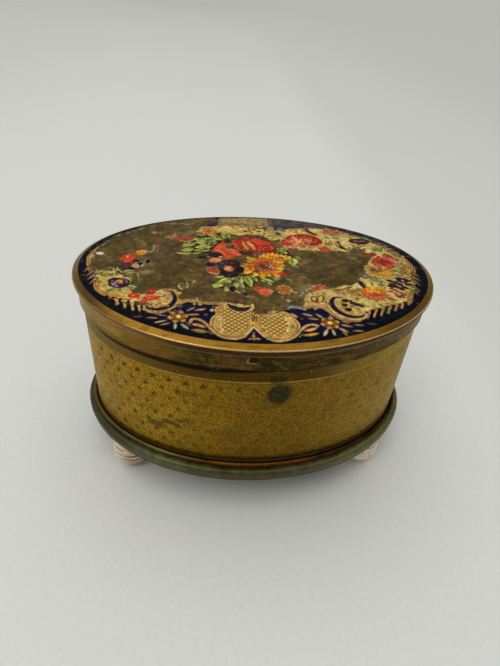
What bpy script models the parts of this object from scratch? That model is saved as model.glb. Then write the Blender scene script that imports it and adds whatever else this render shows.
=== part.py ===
"""Oval metal trinket box on four ribbed ball feet, with a rear-hinged lid.

Metres, +Z up. The origin is on the ground under the middle of the box; +X runs along the long side and
-Y is the front. Every oval is an ellipse given by its half length (X) and half width (Y).
"""

import math

import bmesh
import bpy

MM = 0.001

# ---------------------------------------------------------------- driving dimensions (millimetres)
LID_HALF = (59.0, 41.1)  # widest line of the rolled rim
LID_TOP = 73.1  # height of the panel's mean plane
LID_BOW = 1.54  # rise of the lid's two ends over its middle
SKIRT_INSET = 1.10  # skirt's outer face, inwards from the widest line
SKIRT_DEPTH = 9.90  # lower edge of the skirt, below the panel
SHEET = 0.45  # lid sheet thickness

BODY_HALF = (57.05, 39.20)  # outer face of the straight body wall
BODY_SHEET = 0.50
BODY_LOW = 22.45
BODY_HIGH = 65.20
NECK_HIGH = 66.60

PLINTH_HALF = (60.60, 43.30)  # widest line of the plinth's roll
PLINTH_WIDEST_Z = 19.20
PLINTH_LOW = 16.05
PLINTH_TOP = 22.10

BEAD_RADIUS = 0.62
BEAD_OUT = 1.20  # bead centre, outwards from the body wall
BEAD_Z = 21.45

FOOT_AT = (43.4, 20.3)
FOOT_RADIUS = 7.05
FOOT_HALF_HEIGHT = 7.60
FOOT_RIBS = 6
FOOT_TOP = 15.70
FOOT_BORE = 1.85
SCREW_RADIUS = 1.50

PLATE_LOW, PLATE_HIGH = 16.10, 17.10

PIVOT = (0.0, 41.75, 62.30)
KNUCKLE_RADIUS = 1.35
KNUCKLE_BORE = 1.05
PIN_RADIUS = 0.72
LEAF_HALF = 10.0
MIDDLE_HALF = 3.30

GAP = 0.35  # room left between neighbouring pieces
FINE, PLAIN, ROUND = 64, 48, 18  # divisions of a visible oval, a hidden oval, a turned piece


# ---------------------------------------------------------------- scene, collections, materials
for old in list(bpy.data.objects):
    bpy.data.objects.remove(old, do_unlink=True)

box = bpy.data.collections.new("trinket_box")
helpers = bpy.data.collections.new("cutters")
bpy.context.scene.collection.children.link(box)
bpy.context.scene.collection.children.link(helpers)


def material(name, colour, metallic, roughness):
    mat = bpy.data.materials.new(name)
    mat.use_nodes = True
    shader = mat.node_tree.nodes["Principled BSDF"]
    shader.inputs["Base Color"].default_value = (*colour, 1.0)
    shader.inputs["Metallic"].default_value = metallic
    shader.inputs["Roughness"].default_value = roughness
    return mat


GILT = material("gilt_rim", (0.36, 0.24, 0.09), 1.0, 0.34)
PRINT = material("printed_panel", (0.10, 0.10, 0.16), 0.2, 0.40)
STAR = material("star_printed_tin", (0.26, 0.17, 0.05), 0.9, 0.42)
PATINA = material("patinated_brass", (0.11, 0.12, 0.05), 0.9, 0.45)
COPPER = material("copper_bead", (0.42, 0.14, 0.04), 1.0, 0.35)
ROSE = material("polished_rose_metal", (0.68, 0.52, 0.44), 1.0, 0.22)
STEEL = material("plain_steel", (0.50, 0.50, 0.48), 1.0, 0.38)
TIN = material("plain_tin", (0.42, 0.40, 0.36), 1.0, 0.42)
BRASS = material("hinge_brass", (0.40, 0.28, 0.11), 1.0, 0.36)
CARD = material("grey_card", (0.34, 0.30, 0.25), 0.0, 0.85)
VELVET = material("dark_blue_velvet", (0.020, 0.030, 0.10), 0.0, 0.95)


# ---------------------------------------------------------------- shape helpers
def own(name, mesh, mat, angle=35.0):
    obj = bpy.data.objects.new(name, mesh)
    mesh.materials.append(mat)
    mesh.shade_smooth()
    mesh.set_sharp_from_angle(angle=math.radians(angle))
    box.objects.link(obj)
    return obj


def helper(name, mesh):
    obj = bpy.data.objects.new(name, mesh)
    obj.hide_render = True
    obj.display_type = "WIRE"
    helpers.objects.link(obj)
    return obj


def bowed(x):
    """Height that the bow adds at this place along the lid."""
    return LID_BOW * ((x / LID_HALF[0]) ** 2 - 0.5)


def oval_loft(name, sections, divisions, mat, ring=False, bow=False, angle=35.0):
    """Skins a row of ovals, each (half length, half width, height) in millimetres.

    ring joins the last oval to the first, which makes a hoop. Otherwise the first and last have no size and
    close the body at its two middles.
    """
    bm = bmesh.new()
    rows = []
    for half_x, half_y, z in sections:
        if half_x == 0:
            lift = bowed(0) if bow else 0
            rows.append([bm.verts.new((0, 0, (z + lift) * MM))])
            continue
        row = []
        for i in range(divisions):
            t = 2 * math.pi * i / divisions
            x, y = half_x * math.cos(t), half_y * math.sin(t)
            lift = bowed(x) if bow else 0
            row.append(bm.verts.new((x * MM, y * MM, (z + lift) * MM)))
        rows.append(row)
    pairs = list(zip(rows, rows[1:] + rows[:1] if ring else rows[1:]))
    for low, high in pairs:
        for i in range(divisions):
            k = (i + 1) % divisions
            if len(low) == 1:
                bm.faces.new((low[0], high[i], high[k]))
            elif len(high) == 1:
                bm.faces.new((low[i], high[0], low[k]))
            else:
                bm.faces.new((low[i], high[i], high[k], low[k]))
    bmesh.ops.recalc_face_normals(bm, faces=bm.faces)
    mesh = bpy.data.meshes.new(name)
    bm.to_mesh(mesh)
    bm.free()
    return own(name, mesh, mat, angle)


def grown(half, out, out_y=None):
    return (half[0] + out, half[1] + (out if out_y is None else out_y))


def hoop(half, out_low, z_low, out_high, z_high, thick):
    """Sections of an upright band whose outer face is out_* from the oval half."""
    outer_low, outer_high = grown(half, out_low), grown(half, out_high)
    return [
        (*outer_low, z_low),
        (*outer_high, z_high),
        (outer_high[0] - thick, outer_high[1] - thick, z_high),
        (outer_low[0] - thick, outer_low[1] - thick, z_low),
    ]


def disc(half, z_low, z_high, soft=0.0, steps=(0.0,)):
    """Sections of a closed oval plate. soft rounds its two edges, and steps are extra inner ovals."""
    a, b = half
    low = [(a * s, b * s, z_low) for s in steps]
    high = [(a * s, b * s, z_high) for s in reversed(steps)]
    if soft:
        edge = [
            (a - soft, b - soft, z_low),
            (a, b, z_low + soft),
            (a, b, z_high - soft),
            (a - soft, b - soft, z_high),
        ]
    else:
        edge = [(a, b, z_low), (a, b, z_high)]
    return low + edge + high


def turned(name, profile, mat, steps=ROUND, closed=False, angle=35.0):
    """A piece turned about Z: (radius, height) points that run down the outer side."""
    mesh = bpy.data.meshes.new(name)
    points = [(r * MM, 0, z * MM) for r, z in profile]
    edges = [(i, i + 1) for i in range(len(points) - 1)]
    if closed:
        edges.append((len(points) - 1, 0))
    mesh.from_pydata(points, edges, [])
    obj = bpy.data.objects.new(name, mesh)
    mesh.materials.append(mat)
    box.objects.link(obj)
    screw = obj.modifiers.new("turn", "SCREW")
    screw.axis = "Z"
    screw.angle = 2 * math.pi
    screw.steps = screw.render_steps = steps
    screw.use_smooth_shade = True
    screw.use_merge_vertices = True
    screw.merge_threshold = 0.00001
    return obj


def block(name, low, high):
    """A box mesh between two corners in millimetres."""
    bm = bmesh.new()
    bmesh.ops.create_cube(bm, size=1.0)
    for v in bm.verts:
        for k in range(3):
            v.co[k] = (low[k] if v.co[k] < 0 else high[k]) * MM
    mesh = bpy.data.meshes.new(name)
    bm.to_mesh(mesh)
    bm.free()
    return mesh


def rod(name, radius, x_low, x_high, y, z, sides=20):
    """A cylinder mesh along X."""
    bm = bmesh.new()
    bmesh.ops.create_cone(
        bm,
        cap_ends=True,
        segments=sides,
        radius1=radius * MM,
        radius2=radius * MM,
        depth=(x_high - x_low) * MM,
    )
    for v in bm.verts:
        v.co = (
            v.co.z + (x_low + x_high) / 2 * MM,
            v.co.x + y * MM,
            v.co.y + z * MM,
        )
    bmesh.ops.recalc_face_normals(bm, faces=bm.faces)
    mesh = bpy.data.meshes.new(name)
    bm.to_mesh(mesh)
    bm.free()
    return mesh


def upright(name, radius, z_low, z_high, x, y, sides=20):
    """A cylinder mesh along Z."""
    bm = bmesh.new()
    bmesh.ops.create_cone(
        bm,
        cap_ends=True,
        segments=sides,
        radius1=radius * MM,
        radius2=radius * MM,
        depth=(z_high - z_low) * MM,
    )
    for v in bm.verts:
        v.co.x += x * MM
        v.co.y += y * MM
        v.co.z += (z_low + z_high) / 2 * MM
    mesh = bpy.data.meshes.new(name)
    bm.to_mesh(mesh)
    bm.free()
    return mesh


def boolean(obj, other, operation):
    mod = obj.modifiers.new(operation.lower() + "_" + other.name, "BOOLEAN")
    mod.operation = operation
    mod.object = other
    mod.solver = "EXACT"


# ---------------------------------------------------------------- lid
# Rim section, as (inset from the widest line, depth below the panel): over the roll, down the skirt, back up
# inside, round the seat that carries the panel.
RIM = [
    (2.10, 0.00),
    (1.45, 0.10),
    (0.90, 0.42),
    (0.42, 0.98),
    (0.10, 1.60),
    (0.00, 2.10),
    (0.16, 2.66),
    (0.60, 3.16),
    (SKIRT_INSET, 3.55),
    (SKIRT_INSET, SKIRT_DEPTH),
    (SKIRT_INSET + SHEET, SKIRT_DEPTH),
    (SKIRT_INSET + SHEET, 1.60),
    (3.80, 1.60),
    (3.80, 1.00),
    (2.10, 1.00),
]
lid_bezel = oval_loft(
    "lid_bezel",
    [(*grown(LID_HALF, -inset), LID_TOP - depth) for inset, depth in RIM],
    FINE,
    GILT,
    ring=True,
    bow=True,
)
lid_panel = oval_loft(
    "lid_panel",
    disc(
        grown(LID_HALF, -2.10 - GAP), LID_TOP - 0.62, LID_TOP - 0.02, 0.0, (0, 0.35, 0.7)
    ),
    FINE,
    PRINT,
    bow=True,
)
lid_backing_card = oval_loft(
    "lid_backing_card",
    disc(grown(LID_HALF, -2.0), LID_TOP - 2.90, LID_TOP - 1.95, 0.0, (0, 0.5)),
    PLAIN,
    CARD,
    bow=True,
)
lid_lining = oval_loft(
    "lid_lining",
    disc(grown(LID_HALF, -3.2), LID_TOP - 5.0, LID_TOP - 3.25, 0.6, (0, 0.5)),
    PLAIN,
    VELVET,
    bow=True,
)

# ---------------------------------------------------------------- body
body_wall = oval_loft(
    "body_wall",
    hoop(BODY_HALF, 0.0, BODY_LOW, 0.0, BODY_HIGH, BODY_SHEET),
    FINE,
    STAR,
    ring=True,
)
neck_ring = oval_loft(
    "neck_ring",
    hoop(
        BODY_HALF,
        -BODY_SHEET - GAP,
        56.0,
        -BODY_SHEET - GAP,
        NECK_HIGH,
        0.6,
    ),
    FINE,
    TIN,
    ring=True,
)
NECK_INSIDE = BODY_SHEET + GAP + 0.6
wall_lining = oval_loft(
    "wall_lining",
    hoop(
        BODY_HALF,
        -NECK_INSIDE - GAP,
        24.45,
        -NECK_INSIDE - GAP,
        NECK_HIGH - 0.6,
        1.2,
    ),
    PLAIN,
    VELVET,
    ring=True,
)
floor_card = oval_loft(
    "floor_card",
    disc(grown(BODY_HALF, -BODY_SHEET - GAP), 22.50, 24.10, 0.0, (0,)),
    PLAIN,
    CARD,
)
floor_lining = oval_loft(
    "floor_lining",
    disc(
        grown(BODY_HALF, -NECK_INSIDE - GAP - 1.2 - 0.45), 24.45, 26.95, 0.7, (0,)
    ),
    PLAIN,
    VELVET,
)

# ---------------------------------------------------------------- plinth
OUT_X = PLINTH_HALF[0] - BODY_HALF[0]
OUT_Y = PLINTH_HALF[1] - BODY_HALF[1]


def plinth_oval(out):
    """The oval this far out of the wall. Outside it widens faster across than along, as the plinth does."""
    return grown(BODY_HALF, out, out * OUT_Y / OUT_X if out > 0 else out)


PLINTH = [
    (-4.00, PLINTH_TOP),
    (0.18, PLINTH_TOP),
    (0.24, 20.45),
    (2.05, 20.45),
    (2.70, 20.36),
    (3.20, 20.02),
    (3.48, 19.60),
    (OUT_X, PLINTH_WIDEST_Z),
    (3.50, 18.20),
    (3.36, 17.10),
    (3.19, PLINTH_LOW),
    (2.65, PLINTH_LOW),
    (2.65, 19.30),
    (2.20, 19.80),
    (-0.42, 19.80),
    (-0.42, 21.50),
    (-4.00, 21.50),
]
base_plinth = oval_loft(
    "base_plinth",
    [(*plinth_oval(out), z) for out, z in PLINTH],
    FINE,
    PATINA,
    ring=True,
)
base_bead = oval_loft(
    "base_bead",
    [
        (
            *plinth_oval(BEAD_OUT + BEAD_RADIUS * math.cos(math.radians(60 * k + 30))),
            BEAD_Z + BEAD_RADIUS * math.sin(math.radians(60 * k + 30)),
        )
        for k in range(6)
    ],
    FINE,
    COPPER,
    ring=True,
    angle=80.0,
)
base_plate = oval_loft(
    "base_plate",
    disc(plinth_oval(2.65 - GAP), PLATE_LOW, PLATE_HIGH, 0.0, (0,)),
    PLAIN,
    TIN,
)


# ---------------------------------------------------------------- feet, screws, washers
def foot_profile():
    """Half section of a ball foot: a blind bore, a short neck, a ball ringed with ribs and a flat to stand on."""
    points = [
        (0.0, 7.0),
        (FOOT_BORE, 7.0),
        (FOOT_BORE, FOOT_TOP),
        (3.20, FOOT_TOP),
        (3.20, 15.00),
    ]
    top, low = 14.3, 1.2

    def ball(z):
        return FOOT_RADIUS * math.sqrt(1 - (z / FOOT_HALF_HEIGHT - 1) ** 2)

    for k in range(FOOT_RIBS):
        for part, rib in ((0.0, -0.35), (0.5, 0.0)):
            z = top + (low - top) * (k + part) / FOOT_RIBS
            points.append((ball(z) + rib, z))
    points += [(ball(low) - 0.35, low), (2.2, 0.0), (0.0, 0.0)]
    return points


SCREW = [
    (0.0, 20.2),
    (1.9, 20.05),
    (2.5, 19.5),
    (2.5, 18.35),
    (SCREW_RADIUS, 18.35),
    (SCREW_RADIUS, 8.4),
    (1.1, 7.6),
    (0.0, 7.6),
]
WASHER = [(3.0, 18.0), (3.0, 17.45), (1.85, 17.45), (1.85, 18.0)]

for end, sx in (("left", -1), ("right", 1)):
    for side, sy in (("front", -1), ("rear", 1)):
        where = f"{side}_{end}"
        x, y = sx * FOOT_AT[0], sy * FOOT_AT[1]
        place = (x * MM, y * MM, 0)
        turned(f"foot_{where}", foot_profile(), ROSE).location = place
        screw_piece = turned(f"foot_screw_{where}", SCREW, STEEL, 16)
        screw_piece.location = place
        slot = helper(
            f"slot_{where}",
            block("slot", (x - 4, y - 0.4, 19.35), (x + 4, y + 0.4, 21)),
        )
        boolean(screw_piece, slot, "DIFFERENCE")
        turned(f"foot_washer_{where}", WASHER, STEEL, 16, closed=True).location = place
        hole = helper(
            f"hole_{where}", upright("hole", FOOT_BORE, 15.0, 18.2, x, y)
        )
        boolean(base_plate, hole, "DIFFERENCE")

# ---------------------------------------------------------------- rear hinge
_, PY, PZ = PIVOT
# Leaf on the body: a plate under the skirt's edge, with one knuckle at each end.
body_leaf = own(
    "hinge_body_leaf",
    block("hinge_body_leaf", (-LEAF_HALF, 39.55, 54.0), (LEAF_HALF, 40.15, 60.5)),
    BRASS,
)
for sign, where in ((-1, "left"), (1, "right")):
    ends = sorted((sign * (MIDDLE_HALF + 0.32), sign * LEAF_HALF))
    tab = helper(
        f"body_tab_{where}",
        block("body_tab", (ends[0], 39.55, 60.0), (ends[1], 40.15, 61.70)),
    )
    arm = helper(
        f"body_arm_{where}",
        block("body_arm", (ends[0], 39.55, 61.02), (ends[1], 41.60, 61.70)),
    )
    knuckle = helper(
        f"body_knuckle_{where}", rod("knuckle", KNUCKLE_RADIUS, *ends, PY, PZ)
    )
    for other in (tab, arm, knuckle):
        boolean(body_leaf, other, "UNION")
bore = helper(
    "knuckle_bore", rod("bore", KNUCKLE_BORE, -LEAF_HALF - 2, LEAF_HALF + 2, PY, PZ)
)
boolean(body_leaf, bore, "DIFFERENCE")

# Leaf on the lid: a plate on the skirt, with the middle knuckle.
lid_leaf = own(
    "hinge_lid_leaf",
    block("hinge_lid_leaf", (-LEAF_HALF, 40.38, 64.05), (LEAF_HALF, 40.95, 68.3)),
    BRASS,
)
lid_tab = helper(
    "lid_tab",
    block("lid_tab", (-MIDDLE_HALF, 40.38, 62.35), (MIDDLE_HALF, 40.95, 64.6)),
)
lid_knuckle = helper(
    "lid_knuckle", rod("knuckle", KNUCKLE_RADIUS, -MIDDLE_HALF, MIDDLE_HALF, PY, PZ)
)
boolean(lid_leaf, lid_tab, "UNION")
boolean(lid_leaf, lid_knuckle, "UNION")
boolean(lid_leaf, bore, "DIFFERENCE")

# Pin: a straight rod with a small head at each end.
pin_end = LEAF_HALF + 0.35
hinge_pin = turned(
    "hinge_pin",
    [
        (0.0, pin_end + 0.6),
        (0.8, pin_end + 0.6),
        (1.2, pin_end + 0.3),
        (1.2, pin_end),
        (PIN_RADIUS, pin_end),
        (PIN_RADIUS, -pin_end),
        (1.2, -pin_end),
        (1.2, -pin_end - 0.3),
        (0.8, -pin_end - 0.6),
        (0.0, -pin_end - 0.6),
    ],
    BRASS,
    16,
)
hinge_pin.rotation_euler = (0, math.pi / 2, 0)
hinge_pin.location = (0, PY * MM, PZ * MM)

# ---------------------------------------------------------------- the lid turns about this point
lid_axis = bpy.data.objects.new("lid_axis", None)
lid_axis.empty_display_size = 0.01
lid_axis.location = [c * MM for c in PIVOT]
box.objects.link(lid_axis)
for piece in (lid_bezel, lid_panel, lid_backing_card, lid_lining, lid_leaf):
    piece.parent = lid_axis
    piece.location = [-c * MM for c in PIVOT]
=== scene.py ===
import math

import bpy
import numpy as np
from mathutils import Matrix, Vector


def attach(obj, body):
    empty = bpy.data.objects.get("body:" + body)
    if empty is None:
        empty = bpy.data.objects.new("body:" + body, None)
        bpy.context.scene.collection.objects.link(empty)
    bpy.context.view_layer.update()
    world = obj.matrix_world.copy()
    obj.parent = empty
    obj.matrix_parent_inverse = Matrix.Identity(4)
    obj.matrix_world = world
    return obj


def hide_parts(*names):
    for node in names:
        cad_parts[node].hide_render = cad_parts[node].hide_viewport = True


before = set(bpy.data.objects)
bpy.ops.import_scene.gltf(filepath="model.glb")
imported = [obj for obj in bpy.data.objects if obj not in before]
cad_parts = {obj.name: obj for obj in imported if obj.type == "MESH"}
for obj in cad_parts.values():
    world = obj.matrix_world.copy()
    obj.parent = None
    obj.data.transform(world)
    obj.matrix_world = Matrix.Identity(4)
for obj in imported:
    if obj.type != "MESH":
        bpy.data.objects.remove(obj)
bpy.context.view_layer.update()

MM = 0.001

# The CAD model's own numbers, in millimetres.
LID = (59.0, 41.1)
TOP = 73.1
BOW = 1.54
SKIRT_IN = 1.10
SKIRT_LOW = 9.40
BODY = (57.05, 39.20)
BODY_LOW, BODY_HIGH = 22.45, 65.20
PLINTH = (60.60, 43.30)
FOOT_AT = (43.4, 20.3)

rng = np.random.default_rng(7)


# ================================================================ camera
def place_camera():
    eye = Vector((-0.0177022, -0.1370184, 0.1540582))
    right = Vector((0.9951926, -0.0710924, 0.0673615))
    up = Vector((-0.0083789, 0.6234769, 0.7817969))
    ahead = Vector((0.0975781, 0.7786029, -0.6198839))
    data = bpy.data.cameras.new("camera")
    data.sensor_width = 36.0
    data.lens = 480.0 * 36.0 / 666.0
    data.clip_start = 0.01
    data.clip_end = 20
    cam = bpy.data.objects.new("camera", data)
    m = Matrix.Identity(4)
    for i in range(3):
        m[i][0], m[i][1], m[i][2], m[i][3] = right[i], up[i], -ahead[i], eye[i]
    cam.matrix_world = m
    bpy.context.scene.collection.objects.link(cam)
    bpy.context.scene.camera = cam


place_camera()


# ================================================================ small helpers
def srgb(r, g, b):
    """0-255 screen colour to scene linear."""
    out = []
    for c in (r, g, b):
        c /= 255.0
        out.append(c / 12.92 if c <= 0.04045 else ((c + 0.055) / 1.055) ** 2.4)
    return tuple(out)


def to_linear(a):
    a = np.clip(a / 255.0, 0, 1)
    return np.where(a <= 0.04045, a / 12.92, ((a + 0.055) / 1.055) ** 2.4)


def lattice_noise(x, y, seed):
    """Smooth value noise in 0..1 at the lattice of whole numbers."""
    r = np.random.default_rng(seed)
    table = r.random((257, 257))
    xi, yi = np.floor(x).astype(int), np.floor(y).astype(int)
    fx, fy = x - xi, y - yi
    fx, fy = fx * fx * (3 - 2 * fx), fy * fy * (3 - 2 * fy)
    a = table[yi % 256, xi % 256]
    b = table[yi % 256, (xi + 1) % 256]
    c = table[(yi + 1) % 256, xi % 256]
    d = table[(yi + 1) % 256, (xi + 1) % 256]
    return (a * (1 - fx) + b * fx) * (1 - fy) + (c * (1 - fx) + d * fx) * fy


def fbm(x, y, size, octaves=4, seed=1):
    total, amp, norm = 0.0, 1.0, 0.0
    for k in range(octaves):
        s = size / 2**k
        total = total + amp * lattice_noise(x / s + 31.7 * k, y / s + 11.3 * k, seed + k)
        norm += amp
        amp *= 0.55
    return total / norm


def step(a, b, x):
    t = np.clip((x - a) / (b - a), 0, 1)
    return t * t * (3 - 2 * t)


def arc_length(half, n=3600):
    """Length along an oval from its front middle, as angle to millimetres."""
    t = np.linspace(-math.pi / 2, 3 * math.pi / 2, n + 1)
    v = np.hypot(half[0] * np.sin(t), half[1] * np.cos(t))
    s = np.concatenate([[0], np.cumsum((v[1:] + v[:-1]) / 2 * np.diff(t))])
    return t, s


def bowed(x):
    return BOW * ((x / LID[0]) ** 2 - 0.5)


def new_object(name, verts, faces, mat, smooth=40.0, uv=None):
    mesh = bpy.data.meshes.new(name)
    mesh.from_pydata([tuple(v) for v in np.asarray(verts) * MM], [], [list(map(int, f)) for f in faces])
    mesh.update()
    obj = bpy.data.objects.new(name, mesh)
    bpy.context.scene.collection.objects.link(obj)
    if mat:
        mesh.materials.append(mat)
    mesh.shade_smooth()
    mesh.set_sharp_from_angle(angle=math.radians(smooth))
    if uv is not None:
        layer = mesh.uv_layers.new(name="wrap")
        layer.data.foreach_set("uv", np.asarray(uv, dtype=np.float32).ravel())
    return obj


def facing_out(verts, faces):
    """True if the closed surface's faces point out."""
    v = np.asarray(verts)
    total = 0.0
    for f in faces:
        for k in range(1, len(f) - 1):
            total += np.dot(v[f[0]], np.cross(v[f[k]], v[f[k + 1]]))
    return total > 0


def loft(name, sections, n, mat, ring=False, bow=False, smooth=40.0, wrap=None, shift=None):
    """Skins ovals (half x, half y, z). wrap gives the faces a map of arc length and height."""
    sec = np.asarray(sections, float)
    m = len(sec)
    t = -math.pi / 2 + 2 * math.pi * np.arange(n) / n
    rows, verts = [], []
    for a, b, z in sec:
        if a == 0:
            rows.append([len(verts)])
            verts.append([0, 0, z + (bowed(0) if bow else 0)])
            continue
        x, y = a * np.cos(t), b * np.sin(t)
        zz = np.full(n, z) + (bowed(x) if bow else 0)
        start = len(verts)
        verts.extend(np.stack([x, y, zz], -1).tolist())
        rows.append(list(range(start, start + n)))
    verts = np.asarray(verts)
    if shift is not None:
        verts = shift(verts)
    faces, corner = [], []
    pairs = [(i, (i + 1) % m) for i in range(m if ring else m - 1)]
    if wrap is not None:
        ta, sa = arc_length(wrap)
        s_at = np.interp(t, ta, sa)
        s_at = np.append(s_at, sa[-1])
        half = sa[-1] / 2
        run = np.concatenate([[0], np.cumsum(np.hypot(np.diff(sec[:, 0]), np.diff(sec[:, 2])))])
    for i, j in pairs:
        lo, hi = rows[i], rows[j]
        for k in range(n):
            q = (k + 1) % n
            if len(lo) == 1:
                faces.append((lo[0], hi[k], hi[q]))
            elif len(hi) == 1:
                faces.append((lo[k], hi[0], lo[q]))
            else:
                faces.append((lo[k], hi[k], hi[q], lo[q]))
            if wrap is not None:
                u0, u1 = s_at[k], s_at[k + 1]
                off = 2 * half if (u0 + u1) / 2 > half else 0.0
                corner.append([(u0 - off, sec[i, 2]), (u0 - off, sec[j, 2]), (u1 - off, sec[j, 2]), (u1 - off, sec[i, 2])])
    if not facing_out(verts, faces):
        faces = [f[::-1] for f in faces]
        corner = [c[::-1] for c in corner]
    uv = np.asarray(corner).reshape(-1, 2) if wrap is not None else None
    return new_object(name, verts, faces, mat, smooth, uv)


def turned(name, profile, n, mat, at=(0, 0), smooth=60.0):
    """(radius, height) turned about Z at a place in millimetres."""
    prof = np.asarray(profile, float)
    t = 2 * math.pi * np.arange(n) / n
    verts, rows = [], []
    for r, z in prof:
        if r == 0:
            rows.append([len(verts)])
            verts.append([at[0], at[1], z])
        else:
            rows.append(list(range(len(verts), len(verts) + n)))
            verts.extend([[at[0] + r * math.cos(a), at[1] + r * math.sin(a), z] for a in t])
    faces = []
    for lo, hi in zip(rows, rows[1:]):
        for k in range(n):
            q = (k + 1) % n
            if len(lo) == 1:
                faces.append((lo[0], hi[k], hi[q]))
            elif len(hi) == 1:
                faces.append((lo[k], hi[0], lo[q]))
            else:
                faces.append((lo[k], hi[k], hi[q], lo[q]))
    c = np.asarray(verts) - np.array([at[0], at[1], 0])
    if not facing_out(c, faces):
        faces = [f[::-1] for f in faces]
    return new_object(name, verts, faces, mat, smooth)


def flow(points, per=6):
    """Catmull-Rom through points, ends kept."""
    p = np.asarray(points, float)
    q = np.vstack([2 * p[0] - p[1], p, 2 * p[-1] - p[-2]])
    out = []
    for i in range(1, len(q) - 2):
        for k in range(per):
            u = k / per
            a, b, c, d = q[i - 1], q[i], q[i + 1], q[i + 2]
            out.append(0.5 * (2 * b + (c - a) * u + (2 * a - 5 * b + 4 * c - d) * u * u + (3 * b - a - 3 * c + d) * u**3))
    out.append(p[-1])
    return np.asarray(out)


# ================================================================ material builder
class Look:
    """A node material written as expressions."""

    def __init__(self, name, **uniform):
        self.mat = bpy.data.materials.new(name)
        self.mat.use_nodes = True
        self.tree = self.mat.node_tree
        self.tree.nodes.clear()
        self.shader = self.add("ShaderNodeBsdfPrincipled")
        out = self.add("ShaderNodeOutputMaterial")
        self.tree.links.new(self.shader.outputs[0], out.inputs[0])
        for key, value in uniform.items():
            self.shader.inputs[key.replace("_", " ")].default_value = value
        self.place = self.add("ShaderNodeTexCoord").outputs["Object"]

    def add(self, kind, **props):
        node = self.tree.nodes.new(kind)
        for key, value in props.items():
            setattr(node, key, value)
        return node

    def put(self, socket, value):
        if isinstance(value, bpy.types.NodeSocket):
            self.tree.links.new(value, socket)
        elif isinstance(value, (tuple, list)) and len(value) == 3 and socket.type == "RGBA":
            socket.default_value = (*value, 1.0)
        else:
            socket.default_value = value

    def math(self, op, a, b=None, c=None, clamp=False):
        node = self.add("ShaderNodeMath", operation=op, use_clamp=clamp)
        self.put(node.inputs[0], a)
        if b is not None:
            self.put(node.inputs[1], b)
        if c is not None:
            self.put(node.inputs[2], c)
        return node.outputs[0]

    def vec(self, op, a, b=None, scale=None):
        node = self.add("ShaderNodeVectorMath", operation=op)
        self.put(node.inputs[0], a)
        if b is not None:
            self.put(node.inputs[1], b)
        if scale is not None:
            self.put(node.inputs["Scale"], scale)
        return node.outputs["Value"] if op in ("DOT_PRODUCT", "LENGTH", "DISTANCE") else node.outputs[0]

    def split(self, v):
        node = self.add("ShaderNodeSeparateXYZ")
        self.put(node.inputs[0], v)
        return node.outputs[0], node.outputs[1], node.outputs[2]

    def join(self, x, y, z):
        node = self.add("ShaderNodeCombineXYZ")
        for i, v in enumerate((x, y, z)):
            self.put(node.inputs[i], v)
        return node.outputs[0]

    def noise(self, scale, detail=3.0, rough=0.55, at=None, warp=0.0, colour=False):
        node = self.add("ShaderNodeTexNoise")
        self.put(node.inputs["Vector"], self.place if at is None else at)
        self.put(node.inputs["Scale"], scale)
        self.put(node.inputs["Detail"], detail)
        self.put(node.inputs["Roughness"], rough)
        self.put(node.inputs["Distortion"], warp)
        return node.outputs["Color" if colour else "Fac"]

    def cells(self, scale, feature="F1", at=None, random=1.0, out="Distance"):
        node = self.add("ShaderNodeTexVoronoi", feature=feature)
        self.put(node.inputs["Vector"], self.place if at is None else at)
        self.put(node.inputs["Scale"], scale)
        self.put(node.inputs["Randomness"], random)
        return node.outputs[out]

    def white(self, vector):
        node = self.add("ShaderNodeTexWhiteNoise", noise_dimensions="3D")
        self.put(node.inputs["Vector"], vector)
        return node.outputs["Value"]

    def between(self, value, low, high, to_low=0.0, to_high=1.0, smooth=True):
        node = self.add("ShaderNodeMapRange", interpolation_type="SMOOTHSTEP" if smooth else "LINEAR", clamp=True)
        self.put(node.inputs["Value"], value)
        self.put(node.inputs["From Min"], low)
        self.put(node.inputs["From Max"], high)
        self.put(node.inputs["To Min"], to_low)
        self.put(node.inputs["To Max"], to_high)
        return node.outputs["Result"]

    def mix(self, factor, a, b, blend="MIX"):
        node = self.add("ShaderNodeMix", data_type="RGBA", blend_type=blend, clamp_factor=True)
        self.put(node.inputs[0], factor)
        self.put(node.inputs[6], a)
        self.put(node.inputs[7], b)
        return node.outputs[2]

    def ramp(self, value, stops):
        node = self.add("ShaderNodeValToRGB")
        self.put(node.inputs[0], value)
        el = node.color_ramp.elements
        while len(el) < len(stops):
            el.new(0.5)
        for e, (at, col) in zip(el, stops):
            e.position = at
            e.color = (*col, 1.0)
        return node.outputs[0]

    def uv(self, name="wrap"):
        node = self.add("ShaderNodeUVMap", uv_map=name)
        return node.outputs[0]

    def attribute(self, name, out="Color"):
        node = self.add("ShaderNodeAttribute", attribute_name=name)
        return node.outputs[out]

    def bump(self, height, distance, strength=1.0, after=None):
        node = self.add("ShaderNodeBump")
        node.inputs["Strength"].default_value = strength
        node.inputs["Distance"].default_value = distance
        self.put(node.inputs["Height"], height)
        if after is not None:
            self.put(node.inputs["Normal"], after)
        return node.outputs[0]

    def finish(self, colour=None, rough=None, metal=None, normal=None):
        for key, value in (("Base Color", colour), ("Roughness", rough), ("Metallic", metal), ("Normal", normal)):
            if value is not None:
                self.put(self.shader.inputs[key], value)
        return self.mat


# ================================================================ the lid's print, drawn in code
# A traditional floral and scroll ornament. Every motif is a computed shape on a sheet of 8 points a millimetre,
# in the lid's own millimetres, and the panel's points then take their colour from the sheet.
PX = 8.0
SX, SY = -58.0, -40.0
SW, SH = int(116 * PX), int(80 * PX)
sheet = np.zeros((SH, SW, 3))
net = np.zeros((SH, SW))
worn = np.zeros((SH, SW))
GX, GY = np.meshgrid(SX + (np.arange(SW) + 0.5) / PX, SY + (np.arange(SH) + 0.5) / PX)

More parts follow.
